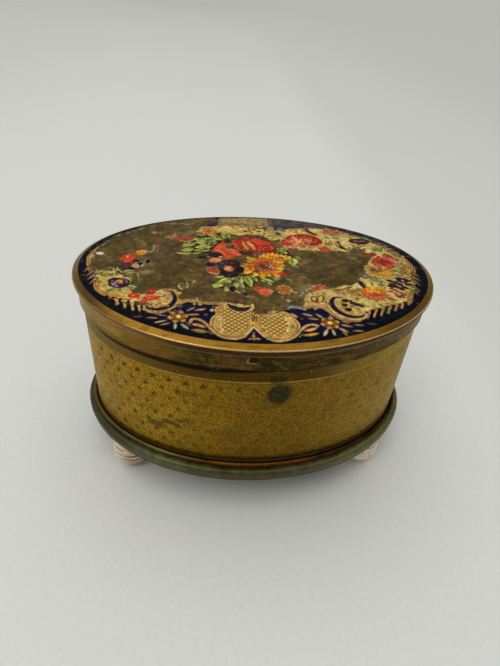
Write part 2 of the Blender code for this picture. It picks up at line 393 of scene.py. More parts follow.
NAVY = np.array([3, 7, 18.0])
COBALT = np.array([12, 10, 43.0])
CREAM = np.array([206, 174, 92.0])
PALE = np.array([220, 186, 116.0])
OCHRE = np.array([146, 90, 26.0])
DARK_OCHRE = np.array([96, 56, 16.0])
BARE = np.array([99, 79, 44.0])
RED = np.array([208, 62, 30.0])
CRIMSON = np.array([158, 34, 20.0])
PEACH = np.array([238, 150, 84.0])
YELLOW = np.array([232, 164, 34.0])
SUN = np.array([246, 184, 58.0])
ORANGE = np.array([220, 116, 28.0])
GREEN = np.array([98, 110, 32.0])
LIGHT_GREEN = np.array([162, 166, 74.0])
DEEP_GREEN = np.array([40, 50, 18.0])
PLUM = np.array([62, 34, 52.0])
INK = np.array([17, 16, 30.0])

edge_noise = fbm(GX, GY, 3.0, 4, 40) - 0.5
fine_noise = fbm(GX, GY, 0.9, 3, 60) - 0.5
chips = fbm(GX + 70, GY + 30, 2.2, 4, 77)


def window(x0, x1, y0, y1, pad=1.0):
    i0 = max(0, int((x0 - pad - SX) * PX))
    i1 = min(SW, int((x1 + pad - SX) * PX) + 1)
    j0 = max(0, int((y0 - pad - SY) * PX))
    j1 = min(SH, int((y1 + pad - SY) * PX) + 1)
    return slice(j0, max(j1, j0)), slice(i0, max(i1, i0))


def sd_outline(x, y, pts):
    d = np.full(x.shape, 1e9)
    inside = np.zeros(x.shape, bool)
    pts = np.asarray(pts, float)
    for (x1, y1), (x2, y2) in zip(pts, np.roll(pts, -1, 0)):
        ex, ey = x2 - x1, y2 - y1
        wx, wy = x - x1, y - y1
        t = np.clip((wx * ex + wy * ey) / (ex * ex + ey * ey + 1e-12), 0, 1)
        d = np.minimum(d, (wx - ex * t) ** 2 + (wy - ey * t) ** 2)
        if y1 != y2:
            cross = ((y1 <= y) & (y < y2)) | ((y2 <= y) & (y < y1))
            inside ^= cross & (x < ex * (y - y1) / ey + x1)
    d = np.sqrt(d)
    return np.where(inside, -d, d)


def sd_stroke(x, y, pts, half):
    pts = np.asarray(pts, float)
    half = np.broadcast_to(half, (len(pts),))
    best = np.full(x.shape, 1e9)
    for k in range(len(pts) - 1):
        (x1, y1), (x2, y2) = pts[k], pts[k + 1]
        ex, ey = x2 - x1, y2 - y1
        wx, wy = x - x1, y - y1
        t = np.clip((wx * ex + wy * ey) / (ex * ex + ey * ey + 1e-12), 0, 1)
        best = np.minimum(best, np.hypot(wx - ex * t, wy - ey * t) - (half[k] + (half[k + 1] - half[k]) * t))
    return best


def lay(sl, mask, colour, chip=0.0):
    """Paints colour where mask is 1. chip lets the bare metal through in flecks."""
    if chip:
        mask = mask * (1 - step(0.62 - 0.22 * chip, 0.70 - 0.22 * chip, chips[sl]))
    m = mask[..., None]
    sheet[sl] = sheet[sl] * (1 - m) + np.asarray(colour) * m
    worn[sl] = worn[sl] * (1 - mask)


def soft(d, edge=0.12):
    return np.clip(0.5 - d / (2 * edge), 0, 1)


def blot(pts, colour, edge=0.12, rough=0.0, chip=0.0, outline=None, width=0.18):
    pts = np.asarray(pts, float)
    sl = window(pts[:, 0].min(), pts[:, 0].max(), pts[:, 1].min(), pts[:, 1].max(), 1.0 + rough)
    d = sd_outline(GX[sl], GY[sl], pts) + rough * edge_noise[sl]
    if outline is not None:
        lay(sl, soft(d - width, edge), outline, chip)
    lay(sl, soft(d, edge), colour, chip)


def line(pts, half, colour, edge=0.1, chip=0.0):
    pts = np.asarray(pts, float)
    pad = 1.0 + float(np.max(half))
    sl = window(pts[:, 0].min(), pts[:, 0].max(), pts[:, 1].min(), pts[:, 1].max(), pad)
    lay(sl, soft(sd_stroke(GX[sl], GY[sl], pts, half), edge), colour, chip)


def petal(cx, cy, angle, length, width, base, tip, chip=0.0, streak=0.35, point=1.0, outline=None, start=0.0):
    """One petal or leaf from (cx, cy), with a graded colour and fine streaks along it."""
    a = math.radians(angle)
    ca, sa = math.cos(a), math.sin(a)
    ex, ey = cx + ca * length, cy + sa * length
    r = width
    sl = window(min(cx, ex) - r, max(cx, ex) + r, min(cy, ey) - r, max(cy, ey) + r)
    x, y = GX[sl] - cx, GY[sl] - cy
    u = (x * ca + y * sa) / length
    v = -x * sa + y * ca
    uu = np.clip(u, 0, 1)
    half = width / 2 * np.sin(math.pi * np.clip(uu, 0, 1) ** (0.75 * point)) ** 0.8
    d = np.maximum(np.abs(v) - half, np.maximum(start - u, u - 1) * length)
    d = d + 0.10 * fine_noise[sl]
    if outline is not None:
        lay(sl, soft(d - 0.16, 0.1), outline, chip)
    shade = np.clip(uu + streak * (lattice_noise(v * 3.2 + cx * 7, uu * 2 + cy * 5, 9) - 0.5), 0, 1)[..., None]
    side = (0.10 * np.sign(v) * np.clip(np.abs(v) / (width / 2 + 1e-6), 0, 1))[..., None]
    col = (np.asarray(base) * (1 - shade) + np.asarray(tip) * shade) * (1 + side)
    lay(sl, soft(d), col, chip)


def leaf(cx, cy, angle, length, width, chip=0.15, dark=GREEN, light=LIGHT_GREEN):
    petal(cx, cy, angle, length, width, dark, light, chip, 0.6, 1.0, DEEP_GREEN)
    a = math.radians(angle)
    tip = (cx + 0.85 * length * math.cos(a), cy + 0.85 * length * math.sin(a))
    line([(cx, cy), tip], [0.16, 0.04], light * 1.08, 0.08, chip)
    for k in range(1, 4):
        t = k / 4.5
        px, py = cx + t * length * math.cos(a), cy + t * length * math.sin(a)
        for s in (-1, 1):
            b = a + s * 0.75
            q = (px + 0.3 * width * math.cos(b), py + 0.3 * width * math.sin(b))
            line([(px, py), q], [0.10, 0.03], light, 0.08, chip)


def disc(cx, cy, r, colour, chip=0.0, edge=0.12, ry=None, outline=None):
    ry = r if ry is None else ry
    sl = window(cx - r, cx + r, cy - ry, cy + ry)
    d = (np.hypot((GX[sl] - cx) / r, (GY[sl] - cy) / ry) - 1) * min(r, ry) + 0.08 * fine_noise[sl]
    if outline is not None:
        lay(sl, soft(d - 0.16, 0.1), outline, chip)
    lay(sl, soft(d, edge), colour, chip)


def berry(cx, cy, r, colour=RED, chip=0.0):
    disc(cx, cy, r, colour * 0.72, chip)
    disc(cx - 0.12 * r, cy + 0.12 * r, 0.82 * r, colour, chip, 0.3)
    disc(cx - 0.3 * r, cy + 0.35 * r, 0.28 * r, np.array([244, 176, 150.0]), chip, 0.2)


def blossom(cx, cy, r, petals, base, tip, centre, chip=0.1, turn=0.0, width=1.0, outline=None, inner=0.28):
    for k in range(petals):
        a = turn + 360.0 * k / petals
        petal(cx, cy, a, r * (0.94 + 0.12 * rng.random()), width * r * 2 * math.sin(math.pi / petals) * 1.15, base, tip, chip, 0.5, 1.35, outline)
    disc(cx, cy, inner * r, centre, chip, 0.2)
    for k in range(9):
        a = 2.39996 * k
        q = inner * r * 0.8 * math.sqrt((k + 0.5) / 9)
        disc(cx + q * math.cos(a), cy + q * math.sin(a), 0.05 * r + 0.06, centre * (0.55 if k % 2 else 1.5), chip)


def rose(cx, cy, r, deep, mid, light, chip=0.12, turn=0.0, layers=4):
    """A full-blown rose: rings of rounded petals, smaller and darker towards the middle."""
    for ring in range(layers):
        f = 1 - ring / layers
        count = max(3, int(7 * f) + 1)
        for k in range(count):
            a = turn + 37 * ring + 360.0 * k / count
            ra = math.radians(a)
            px, py = cx + 0.30 * r * f * math.cos(ra), cy + 0.30 * r * f * math.sin(ra)
            base = deep * (0.82 + 0.12 * rng.random())
            tip = mid * (1 - 0.35 * rng.random()) + light * (0.35 * rng.random())
            petal(px, py, a, 0.72 * r * f, 0.86 * r * f, base, tip, chip, 0.7, 1.5, deep * 0.7)
    for k in range(3):
        a = math.radians(turn + 120 * k)
        q = [(cx + 0.16 * r * math.cos(a + w), cy + 0.16 * r * math.sin(a + w)) for w in np.linspace(0, 2.2, 6)]
        line(q, [0.05, 0.12, 0.16, 0.14, 0.10, 0.03], light, 0.1, chip)


def scroll(path, half, core=INK, chip=0.0):
    """A C-scroll: pale body, ochre outline and a dark crescent inside."""
    p = flow(path, 6)
    n = len(p)
    w = half * np.sin(np.linspace(0.12, math.pi - 0.12, n)) ** 0.7
    line(p, w + 1.30, DARK_OCHRE, 0.1, chip)
    line(p, w + 1.05, PALE, 0.1, chip)
    line(p, w + 0.50, OCHRE, 0.1, chip)
    line(p, w + 0.26, PALE, 0.1, chip)
    line(p, w, core, 0.12, chip)


def frond(cx, cy, angle, length, bend=25.0, colour=PALE, half=0.32, chip=0.05):
    """A small pale leaf on the blue, with an ochre rib."""
    a0 = math.radians(angle)
    a1 = math.radians(angle + bend)
    p = flow([(cx, cy), (cx + 0.5 * length * math.cos(a0), cy + 0.5 * length * math.sin(a0)),
              (cx + 0.5 * length * (math.cos(a0) + math.cos(a1)), cy + 0.5 * length * (math.sin(a0) + math.sin(a1)))], 5)
    w = half * np.sin(np.linspace(0.35, math.pi, len(p))) ** 0.8 + 0.03
    line(p, w + 0.13, DARK_OCHRE, 0.1, chip)
    line(p, w, colour, 0.1, chip)
    line(p[1:-2], 0.06, OCHRE, 0.08, chip)


def daisy(cx, cy, r):
    for k in range(6):
        petal(cx, cy, 18 + 60 * k, r, 0.92 * r, DARK_OCHRE, PALE, 0.05, 0.3, 1.6, OCHRE)
    for k in range(6):
        petal(cx, cy, 18 + 60 * k, 0.72 * r, 0.45 * r, OCHRE, ORANGE, 0.05, 0.3, 1.4)
    disc(cx, cy, 0.30 * r, OCHRE, 0, 0.1, outline=DARK_OCHRE)
    disc(cx, cy, 0.17 * r, PALE)


def cartouche(lobes, chip=0.0):
    """Rounded lobes joined into one shape, with a doubled outline and a netted field."""
    xs = [c[0] for c in lobes]
    ys = [c[1] for c in lobes]
    rs = [max(c[2], c[3]) for c in lobes]
    sl = window(min(x - r for x, r in zip(xs, rs)), max(x + r for x, r in zip(xs, rs)),
                min(y - r for y, r in zip(ys, rs)), max(y + r for y, r in zip(ys, rs)), 1.5)
    d = np.full(GX[sl].shape, 1e9)
    for cx, cy, rx, ry in lobes:
        e = (np.hypot((GX[sl] - cx) / rx, (GY[sl] - cy) / ry) - 1) * min(rx, ry)
        k = 0.8
        h = np.clip(0.5 + 0.5 * (d - e) / k, 0, 1)
        d = d * (1 - h) + e * h - k * h * (1 - h)
    lay(sl, soft(d - 0.28, 0.1), DARK_OCHRE, chip)
    lay(sl, soft(d, 0.1), PALE, chip)
    lay(sl, soft(np.abs(d + 0.75) - 0.16, 0.1), OCHRE, chip)
    lay(sl, soft(np.abs(d + 1.35) - 0.10, 0.1), OCHRE * 1.1, chip)
    net[sl] = np.maximum(net[sl], soft(d + 1.5, 0.15))


def shape(points, colour, chip=0.0, outline=None, width=0.18, edge=0.12, rough=0.12, per=3):
    """A soft-cornered patch through the given points."""
    blot(flow(list(points) + [points[0]], per), colour, edge, rough, chip, outline, width)


def spindle(p, q, half, colour, dark=DARK_OCHRE, bend=0.0, chip=0.0, light=None):
    """A slim leaf stroke from p to q, dark round its edge."""
    (x0, y0), (x1, y1) = p, q
    path = flow([p, ((x0 + x1) / 2 - bend * (y1 - y0), (y0 + y1) / 2 + bend * (x1 - x0)), q], 5)
    w = half * np.sin(np.linspace(0.22, math.pi - 0.16, len(path))) ** 0.9
    if dark is not None:
        line(path, w + 0.20, dark, 0.1, chip)
    line(path, w, colour, 0.1, chip)
    if light is not None:
        line(path[2:-2], 0.35 * w[2:-2], light, 0.1, chip)


def strands(points, widths, chip=0.0, taper=0.0):
    """Nested lines along one path, widest first."""
    p = flow(points, 6)
    f = np.ones(len(p)) if not taper else np.sin(np.linspace(0.3, math.pi - 0.2, len(p))) ** taper
    for half, colour in widths:
        line(p, half * f, colour, 0.1, chip)


def moon(points, thick, pale, core, inner=None, outer=0.62, chip=0.0, ends=0.12):
    """A dark crescent with pale, thin-lined edges."""
    p = flow(points, 6)
    w = thick * np.sin(np.linspace(ends, math.pi - ends, len(p))) ** 0.75
    line(p, w + outer + 0.16, DARK_OCHRE, 0.1, chip)
    line(p, w + outer, pale, 0.1, chip)
    line(p, w + 0.30, OCHRE, 0.1, chip)
    line(p, w + 0.16, pale * 1.04, 0.1, chip)
    line(p, w, core, 0.12, chip)
    if inner is not None:
        line(p[3:-3], 0.28 * w[3:-3], inner, 0.1, chip)


def closed(outline, rows):
    """Fills and lines inside one outline: (inset from the edge, half width or None for a fill, colour)."""
    p = flow(list(outline) + [outline[0]], 4)
    sl = window(p[:, 0].min(), p[:, 0].max(), p[:, 1].min(), p[:, 1].max(), 1.5)
    d = sd_outline(GX[sl], GY[sl], p)
    for inset, half, colour in rows:
        lay(sl, soft(d + inset, 0.1) if half is None else soft(np.abs(d + inset) - half, 0.1), colour)
    return sl, d


BLACK = np.array([12, 10, 14.0])
UMBER = np.array([52, 34, 14.0])
BLUSH = np.array([206, 150, 108.0])
SALMON = np.array([208, 98, 56.0])
SAGE = np.array([134, 150, 92.0])
GLEAM = np.array([232, 222, 196.0])
STEEL_BLUE = np.array([112, 124, 142.0])


def leafy(x, y, angle, length, width, tone=0.5, chip=0.1, edge=True):
    """A leaf in oil-print manner: dark edge, two greens and a pale rim on one side."""
    a = math.radians(angle)
    dark = DEEP_GREEN * 0.85
    body = GREEN * (1 - tone) + LIGHT_GREEN * tone
    petal(x, y, angle, length, 1.12 * width, body * 1.02, body * 1.30, chip, 0.9, 1.0, dark if edge else None)
    nx, ny = -math.sin(a), math.cos(a)
    tip = (x + 0.9 * length * math.cos(a), y + 0.9 * length * math.sin(a))
    line([(x, y), tip], [0.17, 0.05], dark, 0.08, chip)
    line(flow([(x + 0.15 * length * math.cos(a) + 0.26 * width * nx, y + 0.15 * length * math.sin(a) + 0.26 * width * ny),
               (x + 0.5 * length * math.cos(a) + 0.36 * width * nx, y + 0.5 * length * math.sin(a) + 0.36 * width * ny), tip], 4), 0.19,
         np.array([206, 197, 126.0]), 0.08, chip)
    for k in range(1, 4):
        t = k / 4.3
        px, py = x + t * length * math.cos(a), y + t * length * math.sin(a)
        b = a - 0.8
        line([(px, py), (px + 0.34 * width * math.cos(b), py + 0.34 * width * math.sin(b))], [0.12, 0.05], dark, 0.08, chip)


def draw_print():
    everywhere = (slice(0, SH), slice(0, SW))
    r_norm = np.hypot(GX / 56.8, GY / 38.9)
    rim = (1 - r_norm) * 38.9
    depth = step(1.2, 3.8, rim)[..., None]
    glow = (0.55 + 0.9 * fbm(GX, GY, 3.2, 3, 33))[..., None]
    sheet[:] = NAVY * (1 - depth) + COBALT * depth * glow
    sheet[:] *= 1 + 0.5 * fine_noise[..., None]

    # cream field
    field = flow([(-54.9, 3.2), (-54.3, -1.0), (-53.2, -4.6), (-51.4, -8.6), (-50.4, -10.6), (-50.0, -13.3), (-49.1, -15.7), (-47.5, -17.5),
                  (-45.2, -19.1), (-43.6, -20.4), (-42.4, -22.5), (-39.9, -23.9), (-37.6, -24.9), (-35.6, -25.5), (-33.2, -25.6), (-30.2, -25.6),
                  (-27.2, -23.9), (-25.0, -21.6), (-22.4, -19.9), (-19.4, -20.4), (-16.5, -20.9), (-13.6, -20.9), (-12.0, -21.8), (-8.0, -24.0),
                  (-2.0, -25.4), (3.0, -25.2), (6.8, -22.6), (10.0, -21.4), (13.6, -22.2), (15.2, -21.6), (18.0, -21.4), (19.6, -23.2), (20.6, -26.2),
                  (23.4, -28.4), (27.6, -28.6), (30.6, -27.0), (31.9, -27.3), (33.6, -27.2), (36.0, -26.0), (38.6, -24.8), (41.2, -23.0), (43.8, -21.4),
                  (46.2, -19.2), (47.4, -16.2), (48.8, -13.4), (50.4, -9.6), (51.8, -6.0), (53.2, -2.0), (53.7, 1.4), (53.0, 5.4), (51.6, 9.4), (49.8, 12.8),
                  (47.4, 16.4), (44.2, 20.2), (40.2, 23.8), (35.4, 27.0), (30.4, 29.6), (25.4, 31.2), (21.2, 30.6), (16, 29.6), (12, 30.2), (8.5, 30.8),
                  (4, 31.8), (-4, 32.2), (-10.5, 31.6), (-14, 29.8), (-18, 29.6), (-23, 31.0), (-28, 30.6), (-34, 28.2), (-40, 24.4), (-45, 20.2),
                  (-49.4, 15.0), (-52.8, 9.8)], 3)
    d = sd_outline(GX, GY, field)
    lay(everywhere, soft(d - 0.62, 0.12), UMBER * 0.7)
    lay(everywhere, soft(d - 0.30, 0.12), np.array([196, 158, 104.0]))
    lay(everywhere, soft(np.abs(d + 0.30) - 0.18, 0.12), OCHRE * 0.86)
    lay(everywhere, soft(np.abs(d + 0.66) - 0.15, 0.12), PALE)
    lay(everywhere, soft(np.abs(d + 1.02) - 0.11, 0.12), OCHRE * 1.05)
    calm = step(6.0, 20.0, GX)
    tone = (0.87 + 0.07 * calm + 0.24 * fbm(GX, GY, 5, 4, 21))[..., None] * (1 + (0.26 - 0.16 * calm)[..., None] * fine_noise[..., None])
    lay(everywhere, soft(d + 1.2, 0.12), CREAM * tone)
    # a greener, paler cream at the right
    pale = (soft(d + 1.2, 0.12) * calm * 0.45)[..., None]
    sheet[:] = sheet * (1 - pale) + np.array([208, 190, 116.0]) * tone * pale

    # ochre curls and lines in the cream
    def curl(cx, cy, r, turn, sweep=300, half=0.17, colour=OCHRE):
        t = np.linspace(0, math.radians(sweep), 18)
        k = r * (1 - 0.72 * t / t[-1])
        line(np.stack([cx + k * np.cos(t + math.radians(turn)), cy + 0.9 * k * np.sin(t + math.radians(turn))], -1), half, colour)

    for cx, cy, r, turn, tone1 in ((-48.9, -11.3, 1.0, 60, OCHRE), (-36.2, -21.4, 1.2, 220, OCHRE), (-43.0, -18.2, 1.2, 200, OCHRE),
                                   (33.6, -23.2, 1.4, 250, OCHRE), (38.0, -20.6, 1.7, 210, OCHRE), (46.4, -14.6, 1.4, 290, OCHRE),
                                   (50.6, -2.4, 2.0, 300, DARK_OCHRE), (51.6, 1.6, 1.7, 330, DARK_OCHRE), (50.4, 4.6, 1.5, 20, DARK_OCHRE), (50.8, 8.4, 1.2, 60, DARK_OCHRE),
                                   (30.4, -14.8, 1.9, 100, DARK_OCHRE), (28.4, -12.2, 1.5, 60, DARK_OCHRE), (31.6, -13.0, 1.1, 10, DARK_OCHRE), (29.4, -17.0, 1.1, 200, DARK_OCHRE),
                                   (24.6, -13.8, 1.3, 120, DARK_OCHRE), (28.2, 19.6, 1.6, 120, DARK_OCHRE), (36.6, 23.4, 1.4, 60, DARK_OCHRE), (38.4, 16.6, 2.0, 150, DARK_OCHRE),
                                   (43.6, 13.4, 1.4, 30, DARK_OCHRE), (26.8, 27.4, 1.5, 150, OCHRE), (33.0, 29.0, 1.2, 40, OCHRE), (45.0, 18.4, 1.3, 30, DARK_OCHRE),
                                   (16.6, 27.6, 1.5, 140, DARK_OCHRE), (12.2, 28.2, 1.2, 40, DARK_OCHRE), (7.6, 24.2, 1.2, 200, OCHRE), (20.0, 28.2, 1.1, 10, OCHRE)):
        curl(cx, cy, r, turn, 300, 0.17, tone1)
        curl(cx + 0.4, cy - 0.3, 0.55 * r, turn + 160, 240, 0.12, DARK_OCHRE)
    strands([(-48.9, -12.6), (-48.9, -14.8), (-47.6, -16.9), (-45.2, -18.1), (-42.4, -18.3), (-40.6, -18.9)], ((0.34, OCHRE), (0.16, YELLOW * 0.9)))
    strands([(-44.6, -19.6), (-42.2, -19.7), (-40.2, -20.0), (-38.6, -19.6)], ((0.26, OCHRE * 0.8),))
    strands([(39.8, -19.6), (41.6, -20.5), (43.8, -20.3), (45.4, -18.6), (46.0, -16.6)], ((0.26, OCHRE),))
    strands([(39.0, -21.6), (41.6, -22.2), (44.2, -21.4)], ((0.24, DARK_OCHRE),))
    strands([(47.0, 3.4), (49.8, 3.2), (52.0, 1.0), (52.4, -1.8), (50.8, -3.2), (49.0, -2.8)], ((0.42, DARK_OCHRE), (0.22, YELLOW * 0.8)))
    strands([(52.8, -2.4), (52.6, -4.6), (50.6, -5.6), (48.6, -5.0)], ((0.24, DARK_OCHRE),))
    for pts in ([(40.4, 18.0), (37.6, 16.8), (35.6, 17.6)], [(41.0, 16.8), (38.4, 15.6), (36.0, 16.0)], [(29.6, -10.4), (28.0, -12.0), (27.8, -14.0)], [(31.0, -11.6), (30.0, -13.6), (30.6, -15.6)],
                [(27.0, -11.4), (26.0, -13.2), (26.4, -15.0)], [(32.4, -13.2), (32.2, -15.4), (31.0, -17.0)], [(45.8, 12.2), (47.6, 9.8), (48.8, 7.2)], [(47.2, 13.4), (49.0, 10.6), (50.2, 7.8)]):
        strands(pts, ((0.20, DARK_OCHRE),))

    # worn back border: brown metal with a few coloured remains
    back = step(0.02, 0.10, (GY - 15.0) / 38.9) * (1 - step(-21.5, -18.5, GX))
    keep = fbm(GX, GY, 2.6, 4, 240)
    m = (back * step(-3.0, -1.2, -rim) * 0 + back * step(1.0, 1.6, rim) * step(0.30, 0.40, keep))[..., None]
    sheet[:] = sheet * (1 - m) + np.array([84, 70, 46.0]) * m

    # teeth between the field and the border
    def gaps(rows, colour=NAVY * 1.3, wide=0.60, root=0.20, line_colour=UMBER * 0.8):
        for p, q in rows:
            line([p, q], [root + 0.18, wide + 0.16], line_colour)
            line([p, q], [root, wide], colour)

    gaps([((-45.6, -18.9), (-45.4, -22.4)), ((-43.6, -19.5), (-43.4, -23.6)), ((-41.5, -19.9), (-41.0, -24.6)), ((-39.2, -20.9), (-38.4, -27.0)), ((-37.0, -21.2), (-36.3, -27.0)), ((-35.0, -22.8), (-34.4, -27.2))], wide=0.78, root=0.36)
    for pts in ([(-43.3, -20.0), (-42.5, -20.9), (-41.9, -22.4)], [(-41.0, -20.6), (-40.4, -21.6), (-39.8, -23.3)], [(-38.4, -21.6), (-37.9, -22.9), (-37.4, -24.9)], [(-36.5, -21.9), (-36.0, -23.2), (-35.6, -24.9)]):
        strands(pts, ((0.40, OCHRE * 0.8), (0.22, PALE * 1.04)))
    gaps([((30.6, -24.6), (29.4, -28.4)), ((32.8, -23.6), (31.2, -28.2)), ((35.2, -22.9), (33.5, -27.6)), ((37.7, -22.0), (36.0, -26.6)), ((40.0, -21.2), (38.5, -25.4)), ((42.2, -20.7), (41.0, -24.0)), ((44.0, -19.7), (43.4, -22.6))], wide=0.98, root=0.46)
    for pts in ([(31.9, -24.1), (31.0, -25.8), (30.2, -27.4)], [(34.2, -23.2), (33.2, -25.0), (32.3, -26.8)], [(36.6, -22.4), (35.6, -24.2), (34.7, -26.0)], [(39.0, -21.6), (38.0, -23.2), (37.2, -25.0)], [(41.3, -20.9), (40.4, -22.4), (39.7, -23.8)], [(43.2, -20.2), (42.6, -21.4), (42.1, -22.6)]):
        strands(pts, ((0.40, np.array([120, 62, 26.0])), (0.20, PALE * 0.96)))
    for p, q in (((-53.4, -3.4), (-54.4, -6.2)), ((-51.9, -5.6), (-53.3, -8.8)), ((-51.2, -7.4), (-52.6, -10.8)), ((-50.3, -9.6), (-51.6, -13.0))):
        line([p, q], [0.85, 0.30], NAVY)
        line([p, q], [0.44, 0.12], np.array([138, 104, 76.0]))
        line([(p[0] + 0.2, p[1]), (q[0] + 0.3, q[1] + 0.8)], [0.16, 0.05], PALE)
    for p, q in (((51.6, -4.8), (53.9, -8.8)), ((50.9, -7.0), (52.8, -11.8)), ((49.7, -10.2), (51.4, -14.8)), ((48.7, -13.0), (50.2, -16.9)), ((52.3, -2.8), (54.4, -6.0))):
        q = (0.25 * p[0] + 0.75 * q[0], 0.25 * p[1] + 0.75 * q[1])
        line([p, q], [0.80, 0.36], NAVY)
        line([p, q], [0.42, 0.12], np.array([136, 96, 60.0]))
        line([(p[0] - 0.2, p[1]), (q[0] - 0.4, q[1] + 0.9)], [0.13, 0.05], PALE * 0.9)
    for p, q in (((46.0, 16.8), (49.8, 15.8)), ((47.6, 14.8), (51.0, 13.6)), ((48.6, 12.6), (52.0, 11.2)), ((44.4, 18.6), (48.0, 18.2)), ((50.0, 9.8), (52.8, 8.6))):
        line([p, q], [0.62, 0.34], UMBER)
        line([p, q], [0.30, 0.14], np.array([176, 150, 112.0]))
    disc(52.4, 8.3, 0.7, BLUSH)

    # C-scrolls
    moon([(-28.9, -14.3), (-26.9, -15.6), (-26.0, -18.4), (-26.6, -21.2), (-28.6, -23.4), (-31.2, -24.3), (-33.4, -23.6), (-34.0, -22.6)], 0.74, PALE * 0.94,
         np.array([12, 8, 30.0]), np.array([26, 18, 56.0]), 0.66)
    strands([(-34.6, -24.4), (-31.6, -26.0), (-28.6, -25.2), (-26.0, -22.8), (-23.8, -20.6), (-21.8, -19.7), (-20.3, -20.5)], ((0.50, UMBER * 0.8), (0.34, PALE * 0.92), (0.10, OCHRE)))
    disc(-20.3, -21.3, 0.45, PALE * 0.8)
    moon([(25.2, -16.6), (22.6, -16.8), (21.2, -19.2), (21.4, -22.2), (23.0, -24.9), (25.6, -26.6), (28.4, -26.6), (29.8, -25.6)], 0.80, PALE * 1.03,
         np.array([18, 10, 32.0]), np.array([34, 22, 58.0]), 0.86)
    strands([(24.4, -18.9), (23.5, -20.9), (23.9, -23.3), (25.7, -24.7)], ((0.42, OCHRE), (0.22, np.array([226, 196, 104.0]))))
    for x, y, r, a in ((24.6, -21.9, 0.9, 120), (26.4, -24.2, 0.8, 160), (28.6, -23.9, 0.9, 40), (24.3, -19.0, 0.7, 200)):
        curl(x, y, r, a, 290, 0.20, np.array([176, 120, 34.0]))
    moon([(21.3, 31.0), (21.3, 29.2), (22.0, 27.4), (23.6, 25.6), (24.8, 24.9)], 0.52, PALE * 0.85, BLACK, None, 0.46)
    line([(22.5, 30.0), (22.8, 28.0)], [0.34, 0.16], GLEAM * 0.9)
    moon([(31.8, 19.6), (31.2, 17.8), (31.9, 15.4), (33.4, 13.6)], 0.62, PALE * 0.9, BLACK, None, 0.34)
    line([(31.0, 18.4), (31.2, 16.0)], [0.22, 0.14], GLEAM)
    disc(33.8, 20.0, 0.5, GLEAM)
    moon([(32.4, -6.6), (32.9, -8.2), (33.3, -10.2), (33.4, -11.8)], 0.66, PALE * 0.8, INK, None, 0.34)
    line(flow([(31.2, -7.4), (31.8, -9.4), (32.6, -11.4)], 4), 0.24, GLEAM)
    # two ovals and upright lines left of the right-hand scroll
    for x in (13.9, 15.1, 16.9, 18.9):
        strands([(x + 0.9, -14.4), (x + 0.2, -17.2), (x, -20.2)], ((0.34, OCHRE * 0.8), (0.20, PALE)))
    for cx, cy, rx, ry, tilt in ((16.1, -17.6, 0.8, 1.6, 0.0), (18.1, -17.5, 1.0, 1.8, -0.25)):
        t = np.linspace(0, 2 * math.pi, 20)
        line(np.stack([cx + rx * np.cos(t) - tilt * ry * np.sin(t), cy + ry * np.sin(t)], -1), 0.24, DARK_OCHRE * 1.2)
    disc(16.0, -20.4, 0.8, BLUSH, 0, 0.2, 0.5)
    disc(18.0, -20.6, 0.9, BLUSH, 0, 0.2, 0.5)

    # front cartouches: netted, with doubled outlines that run out into the vines
    left = [(-3.6, -31.4), (-4.6, -33.0), (-6.3, -35.2), (-9.0, -36.4), (-12.2, -35.9), (-14.3, -34.2), (-15.7, -31.6), (-15.7, -29.0), (-15.1, -27.3),
            (-14.1, -25.8), (-14.3, -23.6), (-13.2, -21.9), (-11.6, -22.2), (-10.6, -20.6), (-9.6, -22.4), (-7.8, -23.2), (-5.6, -23.2), (-4.3, -21.4), (-3.4, -22.4), (-2.9, -25.4), (-3.2, -28.6)]
    right = [(-3.6, -31.4), (-3.2, -28.6), (-2.6, -25.4), (-1.6, -24.8), (-0.1, -25.2), (1.9, -25.5), (3.6, -25.0), (5.4, -24.0), (7.2, -24.9), (8.3, -26.8),
             (9.4, -29.0), (9.7, -31.2), (8.4, -33.6), (5.5, -36.3), (2.0, -37.3), (-0.9, -36.2), (-2.4, -33.6)]
    for outline in (left, right):
        sl, d = closed(outline, ((-0.30, None, UMBER * 0.5), (0.0, None, PALE * 1.04), (0.60, 0.20, np.array([146, 94, 20.0]))))
        lower = soft(GY[sl] + 29.0, 1.6)
        lay(sl, soft(np.abs(d + 1.34) - 0.22, 0.1) * lower, np.array([150, 98, 24.0]))
        net[sl] = np.maximum(net[sl], soft(d + 1.0 + 0.75 * lower, 0.15))
    # vines
    for mirror, cx in ((1, 0.0), (-1, -6.5)):
        def at(dx, dy):
            return (dx, dy) if mirror == 1 else (cx - dx, dy - 1.0)

        if mirror == 1:
            strands([(-6.4, -35.9), (-9.0, -36.9), (-12.2, -36.3), (-14.4, -34.4), (-16.0, -31.9), (-17.4, -29.8), (-19.2, -28.4), (-20.8, -28.6), (-21.2, -29.9)],
                    ((0.66, BLACK), (0.44, PALE * 0.98), (0.12, OCHRE)))
            strands([(-17.2, -31.0), (-18.8, -29.5), (-20.4, -29.5)], ((0.22, BLACK),))
        else:
            strands([(-0.2, -36.6), (2.4, -37.7), (5.8, -36.9), (8.2, -34.9), (9.8, -32.6), (11.6, -30.9), (13.4, -30.3), (14.8, -30.9)],
                    ((0.66, BLACK), (0.44, PALE * 0.98), (0.12, OCHRE)))
        spindle(at(-20.9, -30.7), at(-17.0, -32.2), 0.62, np.array([196, 134, 78.0]), UMBER, 0.06, 0, BLUSH * 1.08)
        spindle(at(-20.8, -33.3), at(-16.4, -34.2), 0.60, np.array([176, 130, 62.0]), UMBER, 0.04, 0, YELLOW * 0.9)
        line([at(-16.4, -33.6), at(-15.2, -35.0)], [0.10, 0.16], PALE * 0.8)
    spindle((-20.4, -33.9), (-17.0, -34.7), 0.26, GREEN, None)
